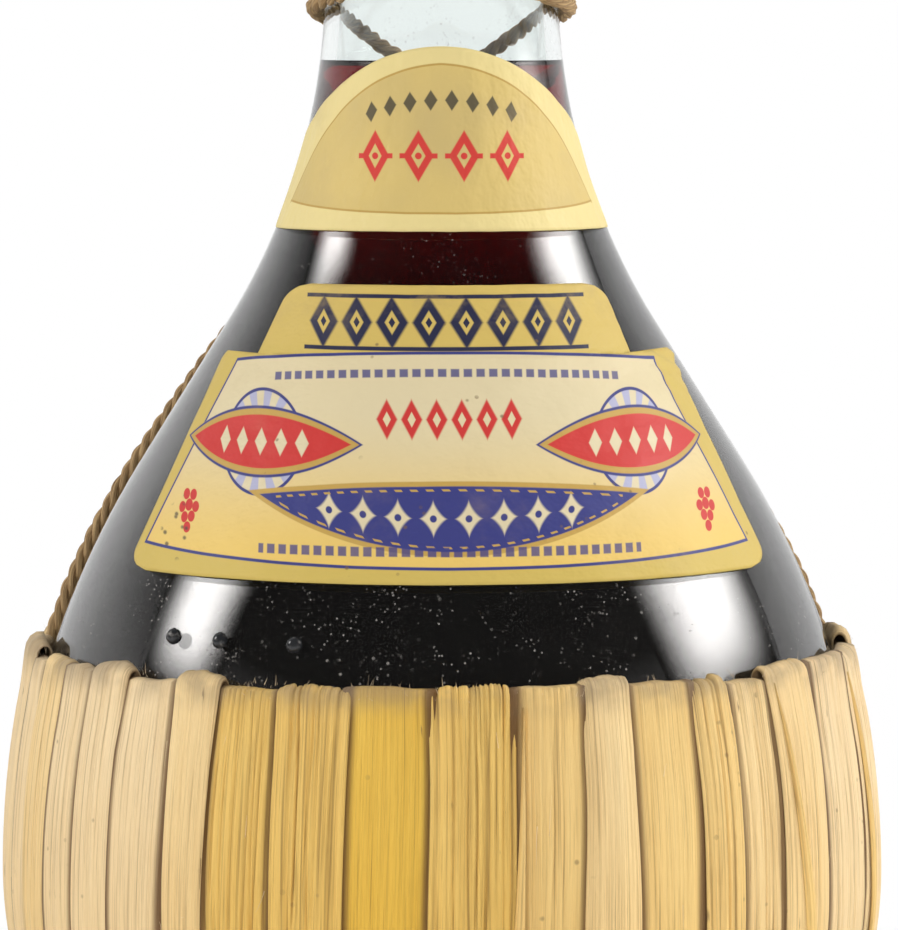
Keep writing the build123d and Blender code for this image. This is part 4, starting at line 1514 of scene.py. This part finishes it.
@dataclass
class Closure:
    """The foil capsule and the cork."""

    skirt_length: float = 66.0
    foil: float = 0.4
    gap: float = 0.3
    cork_r: float = 9.3
    cork_length: float = 38.0
    cork_sink: float = 0.5
    cork_columns: int = 120
    pit_count: int = 70
    seed: int = 21

    def skirt(self, material: bpy.types.Material) -> bpy.types.Object:
        """The skirt: a cone of foil with shallow upright pleats and a rolled lower edge."""
        top = OUTLINE.height + self.gap
        low = top - self.skirt_length
        z = np.linspace(low, top, 70)[:, None]
        turn = circle(240)[None, :]
        share = (z - low) / self.skirt_length
        low_r = float(OUTLINE.radius(low)) + 2 * self.gap
        radius = low_r * (1 - share) + (LIP_R + self.gap) * share
        pleat = 0.05 * np.sin(turn * 17 + share * 5) * (1 - share) + 0.03 * np.sin(turn * 41 - share * 9)
        roll = 0.14 * np.exp(-(((z - low) / 0.7) ** 2)) + 0.10 * np.exp(-(((z - top + 13) / 0.8) ** 2))
        outer = around(turn, radius + self.foil + pleat + roll, z)
        inner = around(turn, radius[::-1], z[::-1])
        both = np.concatenate([outer, inner])
        return single("capsule_skirt_foil", material, both, wrap_rows=True, wrap_columns=True)

    def disc(self, material: bpy.types.Material) -> bpy.types.Object:
        """The top disc: a flat face with two pressed rings and a rounded edge."""
        base = OUTLINE.height + self.gap
        edge = LIP_R + self.gap + self.foil
        bend = edge - 0.4 + 0.4 * np.sin(np.linspace(0.2, 1.57, 6))
        r = np.concatenate([np.linspace(AXIS_R, edge - 0.4, 50), bend])
        outer, inner = np.exp(-(((r - 11.6) / 0.35) ** 2)), np.exp(-(((r - 4.0) / 0.3) ** 2))
        rise = self.foil - 0.16 * outer - 0.14 * inner
        rise = np.where(r > edge - 0.4, self.foil - 0.2 * ((r - edge + 0.4) / 0.4) ** 2, rise)
        profile = np.stack([r, base + rise], 1)
        under = np.array([[edge, base], [AXIS_R, base]])
        grid = turned(np.concatenate([profile, under])[::-1], 160)
        return single("capsule_disc_foil", material, grid, wrap_columns=True, cap_ends=True)

    def cork(self) -> bpy.types.Object:
        """The cork: a cylinder with chamfered ends and small pits where its pores open."""
        rng = np.random.default_rng(self.seed)
        top = OUTLINE.height - self.cork_sink
        low = top - self.cork_length
        side = np.linspace(low + 1.0, top - 1.0, 120)
        z = np.concatenate([[low, low + 0.8], side, [top - 0.8, top]])[:, None]
        turn = circle(self.cork_columns)[None, :]
        radius = np.full((len(z), self.cork_columns), self.cork_r)
        for _ in range(self.pit_count):
            at_turn, at_z, size = rng.uniform(0, 6.28), rng.uniform(low + 2, top - 2), rng.uniform(0.25, 0.7)
            apart = np.angle(np.exp(1j * (turn - at_turn))) * self.cork_r
            radius = radius - 0.35 * np.exp(-((apart / size) ** 2) - ((z - at_z) / (size * 1.8)) ** 2)
        radius[[0, -1]] -= 0.8
        ends = [around(turn, AXIS_R, height) for height in (low, top)]
        grid = np.concatenate([ends[0], around(turn, radius, z), ends[1]])
        return single("cork_stopper", CorkFinish().build(), grid, wrap_columns=True, cap_ends=True)

    def build(self) -> None:
        """Makes and places the capsule and the cork."""
        foil = CapsuleFinish().build()
        place(self.skirt(foil), Body.CAPSULE, "capsule", "capsule_skirt")
        place(self.disc(foil), Body.CAPSULE, "capsule", "capsule_disc")
        place(self.cork(), Body.CORK, "cork", "cork")


@dataclass(frozen=True)
class Softbox:
    """A glowing sheet: its middle, the point it looks at, its width and height, and its glow."""

    name: str
    centre: Triple
    aim: Triple
    size: tuple[float, float]
    strength: float
    reflected: bool = True


@dataclass
class Studio:
    """Pale floor, soft lamps and the camera."""

    lamps: tuple[Softbox, ...] = (
        Softbox("soft_left", (-1.02, -0.07, 0.68), (0, 0, 0.12), (0.60, 0.62), 11.0),
        Softbox("soft_right", (0.98, 0.10, 0.64), (0, 0, 0.12), (0.95, 0.74), 11.5),
        Softbox("soft_front", (-0.15, -1.35, 0.36), (0, 0, 0.08), (1.5, 0.9), 4.4, reflected=False),
    )
    distance: float = 0.850
    eye_z: float = 0.2005
    eye_x: float = 0.00126
    aim_z: float = 0.1338
    lens: float = 195.85
    surround: float = 0.75
    shade: float = 0.02
    glow: Triple = (1.0, 0.985, 0.97)
    grey: Triple = (0.97, 0.98, 1.0)
    white: Triple = (1.0, 1.0, 1.0)
    paper: Triple = (0.86, 0.86, 0.855)
    worn_paper: Triple = (0.80, 0.80, 0.80)
    floor_half: float = 3.0
    floor_z: float = -0.0002
    floor_fade: tuple[float, float] = (0.17, 0.31)

    def camera(self) -> None:
        """The camera, level with the wine and looking a little down."""
        data = bpy.data.cameras.new("camera")
        data.sensor_fit = "AUTO"
        data.sensor_width = 36.0
        data.lens = self.lens
        data.clip_start = 0.01
        data.clip_end = 50
        eye = bpy.data.objects.new("camera", data)
        eye.location = (self.eye_x, -self.distance, self.eye_z)
        eye.rotation_euler = (math.pi / 2 - math.atan2(self.eye_z - self.aim_z, self.distance), 0, 0)
        bpy.context.scene.collection.objects.link(eye)
        bpy.context.scene.camera = eye

    def hang(self, lamp: Softbox) -> None:
        """Hangs a softbox square to its line of sight; its glow fades towards its borders."""
        middle = np.array(lamp.centre)
        way = np.array(lamp.aim) - middle
        way /= np.linalg.norm(way)
        right = np.cross(way, (0.0, 0.0, 1.0))
        right /= np.linalg.norm(right)
        up = np.cross(right, way)
        span = np.linspace(-0.5, 0.5, 5)
        u, v = np.meshgrid(span, span)
        points = middle + u[..., None] * right * lamp.size[0] + v[..., None] * up * lamp.size[1]
        s = Shader(lamp.name)
        across, along, _ = s.split(s.uv())
        rim = (1 - across.abs().ramp(0.06, 0.5)) * (1 - along.abs().ramp(0.12, 0.5))
        glow = s.mix(rim, (0.0, 0.0, 0.0), self.glow)
        finish = s.surface(s.node("ShaderNodeEmission", {}, glow, lamp.strength))
        sheet = single(lamp.name, finish, points, np.stack([u, v], -1), flip=True)
        sheet.visible_camera = False
        sheet.visible_glossy = sheet.visible_transmission = lamp.reflected

    def floor(self) -> None:
        """A wide pale floor that shows white to the camera and through glass, and keeps the shadow."""
        span = np.linspace(-self.floor_half, self.floor_half, 3)
        x, y = np.meshgrid(span, span)
        s = Shader("studio_floor")
        at = s.position()
        east, north, _ = s.split(at)
        far = (east * east + north * north).math("SQRT").ramp(*self.floor_fade)
        base = s.mix(s.noise(at, 12, 2) * 0.1, self.paper, self.worn_paper)
        paper = s.principled(Base_Color=base, Roughness=0.8, Specular_IOR_Level=0.1)
        white = s.node("ShaderNodeEmission", {}, self.white, 1.0)
        seen, _, through = s.rays()
        finish = s.surface(s.blend(seen.either(through) * far, paper, white))
        single("studio_floor", finish, np.stack([x, y, np.full_like(x, self.floor_z)], -1))

    def world(self) -> None:
        """White for the camera, behind and, through glass, low down; a plain grey for light; else dim."""
        s = Shader("studio", world=True)
        _, back, up = s.split(s.node("ShaderNodeTexCoord", {}))
        camera, glossy, transmission = s.rays()
        behind = back.ramp(0.15, 0.75, "LINEAR")
        low_down = 1 - up.ramp(0.22, 0.45, "LINEAR")
        clear = camera.either(transmission * behind.either(low_down)).either(glossy * behind)
        level = glossy.either(transmission) * (self.shade - self.surround) + self.surround
        grey = s.node("ShaderNodeBackground", {}, self.grey, level)
        white = s.node("ShaderNodeBackground", {}, self.white, 1.0)
        bpy.context.scene.world = s.surface(s.blend(clear, grey, white))

    def build(self) -> None:
        """Sets up camera, softboxes, floor and world."""
        self.camera()
        for lamp in self.lamps:
            self.hang(lamp)
        self.floor()
        self.world()
        bpy.context.scene.view_settings.view_transform = "Standard"


def main() -> None:
    """Builds the scene round the frame."""
    logging.basicConfig(level=logging.INFO, format="%(message)s")
    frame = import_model()
    Studio().build()
    for part in (Glassware(), Papers(), Basket(frame["nodes"]["rim_hoop"]), Cords(), Closure()):
        part.build()


if __name__ == "__main__":
    main()
